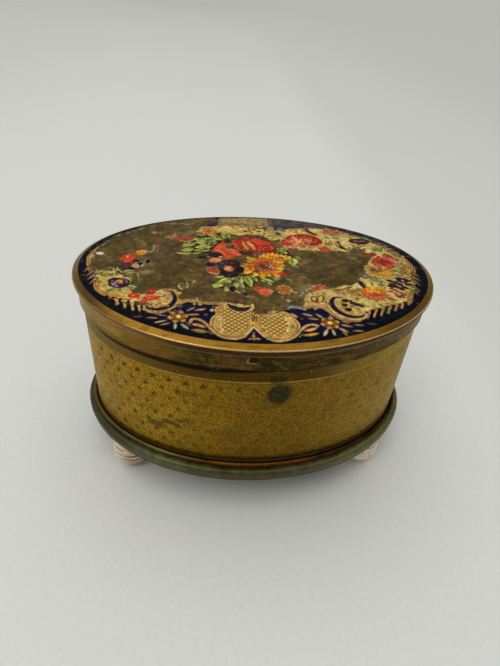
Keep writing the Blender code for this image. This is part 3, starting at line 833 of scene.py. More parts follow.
    # inner curls at the sides of the cartouches
    for pts in ([(-12.9, -27.4), (-14.3, -28.8), (-14.2, -31.2), (-12.6, -32.9)], [(-12.2, -29.0), (-13.3, -29.6), (-13.2, -31.0)],
                [(6.4, -27.6), (8.0, -28.8), (8.4, -31.0), (6.8, -33.4)], [(6.8, -29.6), (7.4, -31.2), (6.2, -33.0)]):
        strands(pts, ((0.42, OCHRE * 0.8), (0.22, PALE)), 0.0, 0.6)
        p = flow(pts, 4)
        sl = window(p[:, 0].min(), p[:, 0].max(), p[:, 1].min(), p[:, 1].max(), 0.9)
        net[sl] *= 1 - soft(sd_stroke(GX[sl], GY[sl], p, 0.75), 0.15)
    for x, y in ((-5.8, -32.0), (-1.2, -32.6)):
        curl(x, y, 1.1, 60 if x < -3 else 220, 280, 0.22, OCHRE * 0.8)
        sl = window(x - 1, x + 1, y - 1, y + 1)
        net[sl] *= 1 - soft(np.hypot(GX[sl] - x, GY[sl] - y) - 1.1, 0.2)
    disc(-3.5, -29.9, 0.85, YELLOW * 1.0 + 20, 0, 0.2, 0.5)
    # notch and fleur between them
    shape([(-3.6, -31.9), (-4.4, -33.6), (-5.6, -35.7), (-4.6, -38.0), (-2.6, -38.0), (-1.4, -36.2), (-2.6, -34.0)], np.array([22, 8, 40.0]), 0, None, 0.18, 0.1, 0.0)
    strands([(-3.6, -31.6), (-4.6, -33.4), (-6.0, -35.4)], ((0.26, PALE),))
    strands([(-3.6, -31.6), (-2.5, -33.6), (-1.0, -35.9)], ((0.26, PALE),))
    disc(-3.8, -34.4, 0.34, SAGE)
    for a, l, w in ((90, 1.6, 0.8), (200, 1.9, 0.6), (-20, 1.9, 0.6), (270, 0.9, 0.9)):
        petal(-3.9, -36.5, a, l, w, OCHRE * 1.2, PALE, 0, 0.2, 1.1, UMBER)
    # scrolls above the left cartouche
    strands([(-10.4, -20.4), (-11.5, -21.8), (-10.9, -23.6), (-9.2, -24.8)], ((0.50, OCHRE * 0.85), (0.28, PALE * 1.02), (0.08, OCHRE)))
    strands([(-4.3, -20.8), (-3.2, -22.0), (-3.6, -23.8)], ((0.46, OCHRE * 0.85), (0.26, PALE)))
    strands([(-13.9, -22.4), (-12.8, -23.6), (-12.4, -24.9)], ((0.44, OCHRE * 0.7), (0.24, PALE)))
    disc(-14.6, -22.4, 0.62, PLUM * 1.6)
    disc(-15.1, -24.0, 0.72, np.array([160, 162, 106.0]), 0, 0.2)
    strands([(-1.8, -24.1), (0.2, -25.0), (2.2, -24.8)], ((0.40, GLEAM * 0.8), (0.22, PLUM)))
    disc(0.7, -24.4, 0.42, np.array([40, 18, 14.0]), 0, 0.2, 0.25)
    # leaves, strokes and flowers on the blue
    for p, q, half, colour in (
        ((-22.3, -24.6), (-20.1, -22.8), 0.36, np.array([170, 160, 110.0])), ((-20.2, -24.3), (-16.9, -23.4), 0.46, BLUSH), ((-22.3, -26.5), (-18.8, -26.2), 0.42, BLUSH * 0.94),
        ((-23.7, -30.8), (-21.7, -33.0), 0.52, np.array([186, 184, 120.0])), ((-25.3, -30.6), (-25.3, -33.1), 0.44, np.array([196, 186, 168.0])),
        ((-22.5, -29.6), (-21.0, -31.8), 0.16, np.array([150, 110, 120.0])), ((-31.4, -26.4), (-27.6, -27.4), 0.30, np.array([160, 118, 80.0])),
        ((-31.0, -30.6), (-27.6, -29.2), 0.38, np.array([190, 160, 120.0])), ((-33.4, -28.4), (-30.2, -28.4), 0.34, np.array([170, 128, 84.0])), ((-29.4, -31.6), (-26.6, -30.4), 0.30, PALE * 0.8),
        ((-27.6, -25.0), (-26.2, -26.0), 0.24, PALE * 0.8), ((-26.2, -24.2), (-25.0, -24.9), 0.20, STEEL_BLUE * 0.8), ((-37.0, -28.2), (-34.6, -28.0), 0.26, np.array([120, 92, 70.0])),
        ((11.3, -25.0), (14.1, -26.2), 0.42, np.array([190, 180, 130.0])), ((15.3, -25.2), (17.2, -27.5), 0.42, np.array([150, 146, 84.0])), ((12.6, -27.3), (15.7, -27.9), 0.36, np.array([186, 142, 92.0])),
        ((7.7, -25.0), (9.5, -27.0), 0.58, BLUSH), ((17.3, -32.4), (15.7, -35.4), 0.52, np.array([204, 180, 146.0])), ((18.7, -32.5), (18.9, -35.3), 0.42, np.array([176, 178, 134.0])),
        ((20.8, -32.0), (23.0, -34.0), 0.44, PALE * 0.92), ((21.6, -30.4), (24.8, -31.4), 0.40, BLUSH * 0.9), ((22.0, -28.8), (24.6, -29.6), 0.30, PALE * 0.8), ((25.4, -30.4), (28.4, -30.8), 0.34, np.array([150, 120, 84.0])),
        ((24.4, -33.2), (27.6, -33.4), 0.34, PALE * 0.78), ((29.4, -29.8), (32.2, -30.4), 0.26, np.array([116, 90, 64.0])), ((19.2, -25.8), (19.6, -27.0), 0.24, BLUSH), ((21.4, -33.6), (22.4, -35.4), 0.30, PALE * 0.8),
    ):
        spindle(p, q, half, colour, UMBER * 0.7)
    for x, y, r, colour in ((12.3, -22.9, 0.55, BLUSH), (-18.6, -21.2, 0.62, np.array([170, 172, 90.0])), (-16.9, -26.2, 0.42, np.array([120, 98, 84.0])), (10.7, -27.6, 0.42, np.array([120, 66, 30.0])),
                            (15.6, -22.6, 0.5, PALE * 0.9), (-24.4, -24.2, 0.34, np.array([92, 84, 160.0]))):
        disc(x, y, r, colour, 0, 0.2, outline=UMBER * 0.6)
    strands([(15.8, -22.2), (17.6, -21.9), (19.0, -23.4), (20.0, -25.0)], ((0.40, PALE * 0.9), (0.14, OCHRE)))
    for cx, cy in ((-24.7, -27.5), (18.6, -29.6)):
        for k in range(6):
            a = 12 + 60 * k
            petal(cx, cy, a, 2.85, 2.3, OCHRE * 0.9, OCHRE * (1.1 + 0.2 * (k % 2)), 0, 0.3, 1.6, PALE * 0.94)
        for k in range(6):
            a = math.radians(12 + 60 * k)
            line([(cx + 0.7 * math.cos(a), cy + 0.7 * math.sin(a)), (cx + 2.0 * math.cos(a), cy + 2.0 * math.sin(a))], [0.26, 0.08], np.array([112, 58, 14.0]))
            b = a + math.radians(30)
            disc(cx + 2.35 * math.cos(a), cy + 2.35 * math.sin(a), 0.30, PALE, 0, 0.2)
            line([(cx + 1.1 * math.cos(b), cy + 1.1 * math.sin(b)), (cx + 2.3 * math.cos(b), cy + 2.3 * math.sin(b))], [0.14, 0.26], UMBER * 0.7)
        disc(cx, cy, 0.78, np.array([226, 188, 84.0]), 0, 0.15, outline=np.array([120, 66, 14.0]))
        disc(cx - 0.1, cy + 0.15, 0.36, np.array([250, 232, 150.0]), 0, 0.2)

    # back cartouche: worn to a tan ghost, with grey-blue scraps at its ends
    closed([(-11.6, 30.2), (-12.4, 33.4), (-11.2, 37.4), (-4, 38.6), (4.6, 38.5), (8.0, 37.6), (8.6, 34.0), (7.6, 30.8), (2, 31.6), (-5, 31.8)],
           ((0.0, None, np.array([158, 132, 86.0])), (0.7, 0.2, np.array([120, 92, 54.0]))))
    sl = window(-13, 12, 30, 38.8)
    f = (step(0.52, 0.60, fbm(GX[sl], GY[sl], 1.1, 3, 350)) * soft(np.hypot((GX[sl] + 0.6) / 11.6, (GY[sl] - 34.4) / 4.2) - 1, 0.2))[..., None]
    sheet[sl] = sheet[sl] * (1 - 0.7 * f) + np.array([108, 86, 52.0]) * 0.7 * f
    shape([(-16.4, 31.6), (-16.0, 34.6), (-13.4, 34.8), (-12.4, 32.2), (-13.8, 31.0)], np.array([48, 50, 66.0]), 0.15)
    shape([(10.4, 29.6), (11.0, 33.0), (14.2, 33.4), (16.4, 31.6), (14.6, 29.8), (12.4, 28.8)], np.array([52, 46, 64.0]), 0.15)
    shape([(14.6, 31.0), (16.8, 34.4), (22.0, 34.0), (24.4, 32.2), (19.0, 31.0)], np.array([84, 76, 78.0]), 0.3)
    shape([(8.0, 31.0), (8.2, 35.0), (9.0, 38.8), (13.0, 38.4), (18.0, 37.6), (18.6, 34.4), (15.0, 32.4), (11.0, 31.6)], np.array([84, 76, 72.0]), 0.4)
    shape([(8.8, 30.0), (9.6, 32.4), (12.6, 32.8), (14.0, 31.2), (12.0, 29.6)], np.array([46, 42, 62.0]), 0.2)
    sl = window(8, 30, 29.5, 39)
    grey = (soft(-(GY[sl] - (31.6 - 0.055 * np.maximum(GX[sl] - 8, 0) ** 1.5 * 0.35)), 0.8) * 0.75)[..., None]
    sheet[sl] = sheet[sl] * (1 - grey) + np.array([78, 72, 70.0]) * grey * (0.8 + 0.4 * fbm(GX[sl], GY[sl], 2, 3, 360))[..., None]

    # a grey bloom over the border at the back and right
    bloom = (1 - step(2.4, 3.4, rim)) * step(0.0, 1.0, (GY - 10.0) / 9.0) * step(0.0, 1.0, (GX - 12.0) / 8.0)
    bloom = (0.60 * bloom * step(0.34, 0.56, fbm(GX, GY, 1.8, 4, 365)))[..., None]
    sheet[:] = sheet * (1 - bloom) + np.array([88, 83, 80.0]) * bloom

    # bare, worn metal
    wear = [
        [(-53.5, -3.0), (-53.7, 3), (-53.0, 9.0), (-51.2, 14.0), (-47.8, 19.6), (-42.2, 24.4), (-35.6, 28.6), (-28.6, 32.0), (-20.6, 31.6), (-18.4, 29.4), (-20.0, 26.4),
         (-17.4, 24.0), (-13.0, 23.4), (-8.4, 24.2), (-4.4, 23.2), (-1.0, 24.4), (4.0, 23.0), (7.0, 20.6), (9.6, 20.4), (10.6, 17.6), (12.4, 15.0), (18.4, 13.4), (24, 12.8), (29.6, 12.6),
         (33.0, 11.8), (35.4, 12.6), (39.0, 12.0), (41.4, 10.2), (39.8, 6.2), (37.4, 2.4), (36.2, -1.6), (34.0, -5.0), (31.4, -8.0), (27.8, -10.0), (22.4, -11.2),
         (17.6, -12.6), (14.0, -14.8), (13.0, -17.6), (12.6, -20.8), (9.6, -21.8), (6.2, -23.4), (1.8, -24.0), (-1.4, -24.6), (-3.4, -23.0), (-5.4, -21.4), (-8.6, -20.8), (-11.4, -20.0), (-14.6, -20.2),
         (-19.0, -19.4), (-22.0, -18.4), (-24.6, -18.4), (-24.4, -15.4), (-26.6, -13.8), (-29.4, -13.6), (-31.4, -15.2), (-33.4, -16.8), (-36.6, -16.6), (-39.4, -15.4), (-40.4, -12.6),
         (-40.0, -8.6), (-43.6, -6.6), (-47.4, -5.0), (-50.2, -5.2), (-51.6, -4.6)],
        [(34.2, 13.2), (37.2, 14.8), (40.2, 12.8), (38.4, 9.8), (35.4, 9.6)],
        [(-27.0, 37.0), (-20.0, 38.2), (-14.6, 37.4), (-12.8, 35.2), (-16.6, 31.4), (-21.4, 30.6), (-28.6, 30.0), (-36.0, 27.6), (-40.4, 26.2), (-36.0, 30.4)],
    ]
    mottled = (0.70 + 0.60 * fbm(GX, GY, 7, 5, 90))[..., None] * (1 + 0.55 * (fbm(GX, GY, 1.5, 4, 95) - 0.5))[..., None]
    olive = step(0.42, 0.66, fbm(GX, GY, 9, 3, 130))[..., None]
    bare = BARE * (1 - 0.45 * olive) + np.array([80, 68, 24.0]) * 0.45 * olive
    lighter = (step(0.50, 0.68, fbm(GX, GY, 2.8, 5, 150)) * step(0.36, 0.60, fbm(GX, GY, 12, 2, 155)))[..., None]
    bare = (bare * (1 - 0.62 * lighter) + np.array([134, 116, 72.0]) * 0.62 * lighter) * mottled
    rusty = step(0.60, 0.76, fbm(GX, GY, 5, 4, 170))[..., None]
    bare = bare * (1 - 0.4 * rusty) + np.array([74, 44, 26.0]) * 0.4 * rusty
    greenish = step(0.60, 0.74, fbm(GX + 40, GY, 3.6, 4, 180))[..., None]
    bare = bare * (1 - 0.4 * greenish) + np.array([66, 66, 30.0]) * 0.4 * greenish
    field_noise = 1.2 * (fbm(GX, GY, 3.4, 5, 200) - 0.5) + 0.8 * (fbm(GX, GY, 0.9, 3, 210) - 0.5)
    for pts in wear:
        p = flow(pts + pts[:1], 3)
        e = sd_outline(GX, GY, p) + 1.5 * field_noise
        m = soft(e, 0.16)
        # a thin dark line where the paint ends
        rim_line = soft(np.abs(e - 0.12) - 0.10, 0.1)[..., None] * 0.45
        sheet[:] = sheet * (1 - rim_line) + np.array([60, 44, 24.0]) * rim_line
        k = m[..., None]
        sheet[:] = sheet * (1 - k) + bare * k
        worn[:] = np.maximum(worn, m)
        net[:] *= 1 - m
    # flakes near the worn places, and a rubbed patch where the cartouches meet
    sl = window(-57, 57, -22, 40)
    f = step(0.715, 0.74, fbm(GX[sl], GY[sl], 2.0, 4, 300))
    k = f[..., None]
    sheet[sl] = sheet[sl] * (1 - k) + bare[sl] * k
    worn[sl] = np.maximum(worn[sl], f)
    net[sl] *= 1 - f
    sl = window(-9, 3, -29.6, -23.6)
    f = step(0.50, 0.62, fbm(GX[sl], GY[sl], 0.9, 3, 310)) * soft(np.hypot((GX[sl] + 2.6) / 4.6, (GY[sl] + 26.4) / 2.6) - 1, 0.5)
    k = f[..., None]
    sheet[sl] = sheet[sl] * (1 - 0.85 * k) + np.array([92, 76, 38.0]) * 0.85 * k
    net[sl] *= 1 - 0.85 * f

    # dark crescent above the left cartouche, and the scrolls round it
    moon([(-10.4, -20.8), (-9.4, -22.0), (-7.6, -23.1), (-5.6, -23.2), (-4.0, -21.9)], 1.05, PALE * 1.04, np.array([8, 9, 14.0]), np.array([46, 52, 60.0]), 0.62)
    strands([(-10.8, -20.0), (-11.6, -21.6), (-10.8, -23.3), (-9.0, -24.5), (-6.4, -24.9), (-4.2, -24.0), (-3.0, -22.2), (-3.2, -20.6)], ((0.46, OCHRE * 0.8), (0.28, PALE * 1.05)))
    strands([(7.3, -22.9), (8.2, -21.7), (10.2, -22.0), (12.0, -23.0)], ((0.60, STEEL_BLUE * 0.9), (0.25, np.array([156, 160, 146.0]))), 0.0, 0.7)
    # remains on the worn metal at the left
    for p, q in (((-50.6, 13.6), (-49.8, 14.8)), ((-48.0, 18.4), (-46.8, 19.6)), ((-51.6, 11.4), (-51.0, 12.4)), ((-44.6, 20.8), (-43.6, 21.6)), ((-36.8, 27.6), (-35.6, 28.4)), ((-40.6, 24.6), (-39.4, 25.4)),
                 ((-29.6, 30.4), (-27.6, 31.0)), ((-24.8, 30.6), (-23.0, 30.0)), ((-22.6, 28.2), (-21.8, 28.6)), ((-26.2, 31.4), (-25.0, 31.6))):
        line([p, q], [0.36, 0.22], np.array([150, 132, 100.0]), 0.2)

    # leaves of the bouquet, on a dark ground
    shape([(-25.0, 17.6), (-20.8, 20.4), (-15.4, 23.8), (-9.6, 25.2), (-6.6, 22.0), (-8.8, 17.4), (-12.4, 12.6), (-17.0, 9.0), (-23.6, 8.4), (-22.6, 12.6)], np.array([40, 36, 18.0]), 0.35, None, 0.18, 0.2, 1.2)
    shape([(-15.0, -12.6), (-11.4, -8.4), (-8.8, -4.8), (-3.0, -4.2), (-1.2, -7.6), (-3.4, -11.2), (-7.2, -9.6), (-10.2, -12.0)], np.array([46, 44, 20.0]), 0.3, None, 0.18, 0.2, 0.9)
    shape([(8.4, 14.4), (11.0, 13.0), (13.4, 8.6), (14.4, 4.4), (12.0, 2.6), (10.0, 5.6), (8.0, 10.6)], np.array([42, 40, 20.0]), 0.3, None, 0.18, 0.2, 0.8)
    for x, y, a, l, w, tone1 in (
        (-12.4, 20.4, 196, 7.4, 3.0, 0.7), (-12.8, 17.4, 186, 7.8, 3.2, 0.85), (-14.6, 14.8, 196, 6.4, 2.8, 0.8), (-15.4, 12.0, 190, 5.6, 2.4, 0.55), (-10.2, 19.6, 150, 6.4, 2.6, 0.5), (-9.0, 20.6, 118, 4.8, 2.2, 0.45),
        (-12.6, 21.8, 140, 4.4, 2.0, 0.6), (-7.6, 20.8, 96, 4.6, 1.9, 0.35), (-20.6, 16.4, 214, 5.4, 2.2, 0.6), (-21.0, 12.2, 200, 4.6, 2.0, 0.7), (-21.6, 9.2, 186, 5.4, 1.9, 0.8), (-22.6, 17.4, 236, 3.8, 1.9, 0.4),
        (-18.6, 10.4, 216, 3.6, 1.6, 0.5), (-19.0, 18.8, 160, 3.6, 1.7, 0.7), (-16.6, 22.4, 170, 3.8, 1.5, 0.5),
        (-7.6, -5.0, 226, 10.4, 3.2, 0.95), (-5.8, -4.8, 256, 7.4, 2.8, 0.8), (-4.2, -4.6, 284, 6.6, 2.5, 0.7), (-10.8, -9.4, 200, 4.6, 1.9, 0.9), (-9.6, -10.4, 248, 4.0, 1.7, 0.7), (-11.0, -4.6, 200, 3.4, 2.0, 0.6),
        (-6.6, -8.8, 296, 3.4, 1.5, 0.8), (-3.0, -4.4, 306, 4.4, 1.7, 0.5), (0.6, -6.4, 334, 4.6, 2.2, 0.9), (4.6, -6.4, 10, 2.8, 1.5, 0.8), (2.2, -8.4, 320, 2.2, 1.2, 0.7), (8.6, -6.2, 330, 2.6, 1.2, 0.2),
        (7.4, 13.8, 322, 5.4, 2.6, 0.5), (10.4, 11.6, 100, 3.4, 1.8, 0.3), (10.2, 8.2, 292, 5.6, 2.6, 0.2), (12.6, 7.6, 270, 5.4, 3.4, 0.95), (9.4, 13.4, 20, 3.4, 1.8, 0.6), (13.8, 8.4, 320, 2.4, 1.2, 0.3), (11.6, 2.4, 340, 2.8, 1.1, 0.7),
        (-50.2, -6.8, 40, 3.6, 1.9, 0.55), (-49.0, -7.4, 20, 4.6, 2.4, 0.85), (-46.4, -7.2, 60, 3.4, 1.9, 0.6), (-44.4, -7.4, 110, 3.0, 1.5, 0.5), (-43.2, -5.4, 20, 4.2, 1.8, 0.7), (-41.6, -7.0, 40, 3.6, 1.5, 0.5),
        (-44.6, -14.8, 250, 2.6, 1.3, 0.7), (-42.4, -14.6, 300, 2.8, 1.3, 0.9), (-40.6, -13.0, 350, 3.2, 1.3, 0.8), (-39.4, -14.6, 20, 2.6, 1.1, 0.6),
        (38.8, -4.6, 280, 4.4, 1.9, 0.5), (37.0, -6.4, 340, 2.4, 1.3, 0.8), (45.4, -1.2, 20, 4.4, 2.2, 0.9), (46.6, -0.4, 330, 3.6, 1.8, 0.7), (48.4, 0.8, 300, 3.2, 1.4, 0.4), (46.2, -3.6, 350, 2.6, 1.3, 0.8),
        (44.2, 15.6, 300, 4.4, 2.6, 0.95), (46.4, 14.6, 260, 3.6, 2.2, 0.8), (42.8, 17.4, 200, 3.4, 1.6, 0.3), (43.0, 13.0, 60, 3.4, 1.7, 0.5), (41.0, 22.4, 330, 3.2, 1.4, 0.6), (30.6, 22.2, 20, 2.2, 1.2, 0.1), (28.8, 22.6, 160, 2.2, 1.1, 0.1),
        (6.6, 23.4, 30, 4.6, 2.0, 0.9), (9.8, 24.6, 350, 3.4, 1.6, 0.8), (-1.0, 29.6, 20, 3.4, 1.2, 0.6), (1.8, 30.4, 340, 2.6, 1.1, 0.6), (33.2, -21.8, 60, 1.8, 1.3, 1.0), (36.2, -21.6, 110, 1.6, 1.1, 1.0), (47.2, -11.6, 340, 3.0, 1.4, 0.6),
    ):
        leafy(x, y, a, l, w, tone1, 0.06)
    # dark ground between them
    for pts in ([(-1.0, 24.2), (1.6, 23.4), (4.6, 21.8), (6.6, 19.4), (5.4, 19.6), (3.2, 21.6), (0.4, 22.6)], [(-4.4, 12.6), (-1.0, 11.4), (-1.2, 9.6), (-4.6, 9.2), (-6.2, 10.6)], [(-10.2, 17.6), (-8.2, 18.6), (-6.8, 16.4), (-7.4, 14.0), (-9.6, 14.8)]):
        shape(pts, np.array([50, 40, 24.0]), 0.1, None, 0.18, 0.2, 0.3)

    # poppy with a fan of petals
    shape([(9.8, 18.4), (11.6, 21.4), (13.4, 23.6), (16.4, 25.2), (20.4, 25.4), (23.6, 23.8), (25.4, 21.2), (25.6, 18.6), (22.6, 17.0), (18.6, 15.2), (14.4, 15.0), (11.4, 15.8)],
          CRIMSON, 0.0, np.array([214, 150, 104.0]), 0.34)
    for k, a in enumerate((170, 152, 134, 116, 98, 80, 62, 44, 26)):
        petal(18.2, 15.6, a, 8.9 - 0.10 * abs(k - 4) ** 1.7, 3.9, np.array([232, 172, 104.0]), np.array([206, 74, 42.0]) * (1.0 - 0.08 * (k % 3)), 0.05, 1.0, 1.5, CRIMSON * 0.85)
    for a in (162, 143, 107, 88, 70, 52):
        ra = math.radians(a)
        line([(18.2 + 1.6 * math.cos(ra), 15.8 + 1.6 * math.sin(ra)), (18.2 + 6.4 * math.cos(ra), 15.8 + 6.4 * math.sin(ra))], [0.16, 0.30], np.array([230, 168, 108.0]), 0.2, 0.1)
    strands([(15.4, 24.2), (15.6, 21.6), (16.6, 19.4)], ((0.34, np.array([232, 146, 104.0])),))
    strands([(12.0, 21.6), (13.0, 19.4), (15.0, 18.0)], ((0.26, np.array([232, 140, 96.0])),))
    petal(10.2, 17.6, 356, 3.8, 2.8, RED * 0.92, np.array([150, 36, 50.0]), 0.05, 0.6, 1.3, CRIMSON * 0.8)
    petal(24.4, 18.6, 200, 4.6, 2.6, RED * 0.72, CRIMSON * 0.9, 0.05, 0.6, 1.3, np.array([214, 150, 104.0]))
    petal(23.6, 16.6, 306, 5.6, 3.4, RED * 0.95, SALMON * 0.92, 0.06, 0.6, 1.2, CRIMSON)
    shape([(27.0, 15.6), (29.6, 15.4), (30.0, 13.4), (27.8, 12.8)], np.array([204, 162, 112.0]), 0.1)
    # ruffled pale foot of the poppy
    for k in range(9):
        x = 11.6 + 1.6 * k
        y = 15.7 - 0.55 * math.sin(math.pi * k / 8)
        disc(x, y, 0.95, np.array([226, 168, 108.0]) * (1.0 if k % 2 else 0.86), 0.1, 0.2, 0.7, np.array([150, 60, 36.0]))

    # red rose at the middle
    shape([(-5.6, 12.6), (-7.0, 16.4), (-5.8, 19.8), (-2.4, 21.8), (1.0, 21.9), (4.2, 20.0), (6.6, 17.0), (7.9, 12.4), (4.6, 11.2), (0.8, 11.2), (-2.4, 11.6)], CRIMSON * 0.92, 0.0, np.array([88, 22, 12.0]), 0.22)
    for x, y, a, l, w, base, tip in (
        (-4.0, 14.4, 118, 6.2, 4.6, CRIMSON, RED), (-2.0, 17.6, 96, 4.4, 4.4, RED * 0.85, RED * 1.02), (0.8, 17.4, 70, 4.6, 4.4, RED * 0.8, SALMON * 0.96), (2.4, 15.2, 44, 5.2, 4.4, np.array([196, 40, 30.0]), RED),
        (2.6, 13.8, 8, 5.0, 3.6, RED * 0.86, np.array([212, 72, 52.0])), (2.0, 14.6, 330, 4.6, 3.2, RED * 0.9, CRIMSON), (-0.4, 14.6, 300, 4.0, 2.8, CRIMSON, RED * 0.92), (-2.0, 14.2, 250, 3.0, 3.2, SALMON, RED * 0.95),
        (1.2, 16.0, 62, 3.4, 3.0, np.array([214, 34, 30.0]), RED * 1.05)):
        petal(x, y, a, l, w, base, tip, 0.04, 0.8, 1.4, np.array([106, 22, 14.0]))
    petal(-3.7, 18.8, 284, 6.6, 1.9, PEACH * 0.95, np.array([232, 164, 96.0]), 0.0, 0.5, 1.2, CRIMSON * 0.8)
    petal(-2.2, 19.2, 292, 7.2, 1.9, PEACH, np.array([226, 132, 84.0]), 0.0, 0.5, 1.2, CRIMSON * 0.8)
    strands([(-2.9, 17.6), (-2.2, 15.6), (-1.2, 13.4)], ((0.26, np.array([112, 70, 22.0])),))
    strands([(3.0, 12.4), (3.6, 14.2), (5.0, 15.2)], ((0.16, SALMON * 1.1),))
    strands([(2.0, 12.2), (2.0, 14.4), (3.0, 16.4)], ((0.15, SALMON * 1.1),))
    strands([(-6.6, 16.0), (-5.8, 13.4), (-4.6, 12.2)], ((0.22, PEACH * 0.85),))
    # the orange-red flower beside it
    shape([(-15.2, 10.6), (-13.6, 14.2), (-11.8, 16.8), (-10.6, 18.6), (-10.4, 15.2), (-9.9, 13.0), (-7.6, 13.0), (-5.6, 10.4), (-4.6, 8.7), (-7.4, 8.0), (-8.0, 6.2), (-10.8, 6.0), (-12.4, 8.4)], RED * 0.95, 0.0, CRIMSON * 0.75, 0.22)
    petal(-13.6, 11.0, 58, 7.6, 3.2, SALMON * 1.02, RED * 0.95, 0.0, 0.8, 1.1)
    petal(-10.6, 10.4, 12, 5.6, 3.0, SALMON, RED * 0.96, 0.0, 0.8, 1.3, CRIMSON * 0.85)
    petal(-10.8, 9.4, 296, 3.8, 3.2, RED, SALMON * 0.95, 0.0, 0.8, 1.4, CRIMSON * 0.85)
    petal(-10.4, 10.2, 340, 5.8, 2.2, RED * 0.9, SALMON, 0.0, 0.6, 1.2)
    strands([(-13.2, 11.9), (-11.6, 10.6), (-10.4, 9.2)], ((0.30, PEACH),))
    strands([(-9.7, 12.5), (-8.2, 12.6), (-7.0, 12.3)], ((0.34, np.array([232, 142, 104.0])),))
    strands([(-8.0, 11.0), (-6.0, 10.0), (-4.8, 9.0)], ((0.20, PEACH * 0.95),))

    # sunflower
    for k in range(17):
        a = 6 + 360.0 * k / 17
        l = 7.5 + 0.8 * math.sin(2.3 * k)
        petal(2.6, 1.7, a, l, 3.3, ORANGE * 0.82, SUN * (0.90 + 0.06 * (k % 3)), 0.03, 0.9, 1.5, np.array([126, 66, 12.0]))
    for k in range(9):
        petal(2.0 + 0.85 * k, 5.0 + 0.25 * min(k, 8 - k), 112 - 8.5 * k, 5.2, 2.0, ORANGE * 0.92, SUN * 1.0, 0.02, 0.8, 1.4, np.array([118, 60, 10.0]))
    for k in range(6):
        petal(-0.6, 1.4 - 0.6 * k * 0.5, 160 + 12 * k, 5.2, 2.1, ORANGE * 1.0, SUN * (1.0 if k > 3 else 0.94), 0.02, 0.8, 1.4, np.array([134, 72, 14.0]))
    for k in range(13):
        a = 27.7 * k
        petal(2.6, 1.6, a, 4.9, 2.2, np.array([160, 66, 30.0]), ORANGE * 1.02, 0.02, 0.9, 1.5, np.array([122, 54, 14.0]))
    disc(2.7, 1.9, 3.1, np.array([156, 52, 36.0]), 0.0, 0.3, 2.6)
    sl = window(-0.6, 6.0, -1.4, 5.0)
    turn1 = np.arctan2(GY[sl] - 1.9, GX[sl] - 2.7)
    ring1 = (soft(np.abs(np.hypot(GX[sl] - 2.7, (GY[sl] - 1.9) * 1.2) - 2.45) - 0.42, 0.2) * (0.5 + 0.5 * np.sin(17 * turn1)))[..., None]
    sheet[sl] = sheet[sl] * (1 - ring1) + np.array([208, 70, 66.0]) * ring1
    disc(2.5, 1.5, 1.95, np.array([74, 54, 30.0]), 0.0, 0.3, 1.5)
    for x, y, r, colour in ((1.6, 1.9, 0.32, np.array([58, 40, 22.0])), (2.6, 0.9, 0.34, np.array([112, 92, 56.0])), (3.4, 2.1, 0.40, GLEAM * 0.85), (2.2, 2.4, 0.30, np.array([96, 70, 48.0])), (4.4, 1.3, 0.44, np.array([226, 190, 140.0])),
                            (5.2, 2.2, 0.44, np.array([224, 176, 120.0])), (5.4, 0.9, 0.40, GLEAM * 0.9), (4.6, 3.2, 0.40, np.array([228, 184, 150.0])), (3.6, -0.3, 0.36, np.array([176, 120, 70.0])), (1.0, 0.2, 0.36, np.array([188, 110, 60.0])),
                            (2.6, -0.8, 0.34, np.array([196, 150, 110.0])), (4.6, -0.6, 0.40, np.array([120, 46, 20.0])), (3.2, 3.4, 0.36, np.array([206, 84, 78.0])), (1.4, 3.2, 0.36, np.array([196, 60, 54.0])), (6.0, 3.2, 0.34, np.array([206, 110, 84.0]))):
        disc(x, y, r, colour, 0, 0.15)
    petal(6.6, -2.4, 330, 3.4, 2.8, RED * 0.95, np.array([176, 42, 44.0]), 0.05, 0.6, 1.3, CRIMSON * 0.8)
    petal(5.6, -1.6, 300, 2.8, 1.8, ORANGE, SALMON, 0.03, 0.6, 1.3)
    strands([(-3.4, 4.2), (-1.8, 3.6), (-0.6, 3.9)], ((0.30, np.array([138, 70, 16.0])),))
    strands([(-4.4, 1.4), (-2.6, 1.0), (-1.2, 1.2)], ((0.26, np.array([138, 70, 16.0])),))

    # dark pansies with peach hearts
    for pts, colour in (
        ([(-16.0, 8.0), (-14.6, 9.8), (-12.2, 9.6), (-11.4, 7.6), (-13.4, 6.8)], np.array([22, 26, 38.0])),
        ([(-19.8, 6.0), (-18.0, 7.4), (-16.4, 7.2), (-16.2, 5.8), (-18.2, 5.6)], np.array([30, 24, 36.0])),
        ([(-16.6, 2.4), (-15.4, 3.4), (-14.2, 2.6), (-14.2, 1.0), (-16.2, 0.8)], np.array([26, 30, 56.0])),
        ([(-13.4, 4.2), (-11.4, 4.8), (-9.6, 4.0), (-8.4, 2.8), (-10.2, 1.4), (-12.8, 1.2)], np.array([48, 34, 44.0])),
        ([(-10.2, 4.6), (-8.6, 5.2), (-6.4, 4.6), (-5.4, 2.6), (-6.6, 0.8), (-8.6, 1.6)], np.array([52, 18, 18.0])),
        ([(-7.0, 0.6), (-5.2, 1.0), (-4.4, -0.6), (-5.2, -2.6), (-7.2, -2.8), (-8.0, -1.2)], np.array([16, 24, 22.0])),
        ([(-14.2, -0.6), (-12.4, 0.2), (-11.0, -1.0), (-11.0, -3.8), (-13.4, -4.2)], np.array([24, 26, 34.0])),
        ([(-11.6, -3.0), (-10.0, -2.6), (-7.6, -3.0), (-6.4, -4.0), (-8.0, -5.6), (-10.6, -5.6)], np.array([30, 20, 34.0])),
    ):
        shape(pts, colour, 0.0, BLACK, 0.2, 0.16, 0.35)
    shape([(-16.0, 4.4), (-14.8, 6.2), (-12.4, 6.0), (-11.8, 4.6), (-13.2, 3.4), (-15.2, 3.2)], np.array([218, 136, 86.0]), 0.0, np.array([120, 52, 34.0]), 0.2)
    disc(-12.0, 7.0, 0.62, np.array([210, 150, 146.0]), 0, 0.25)
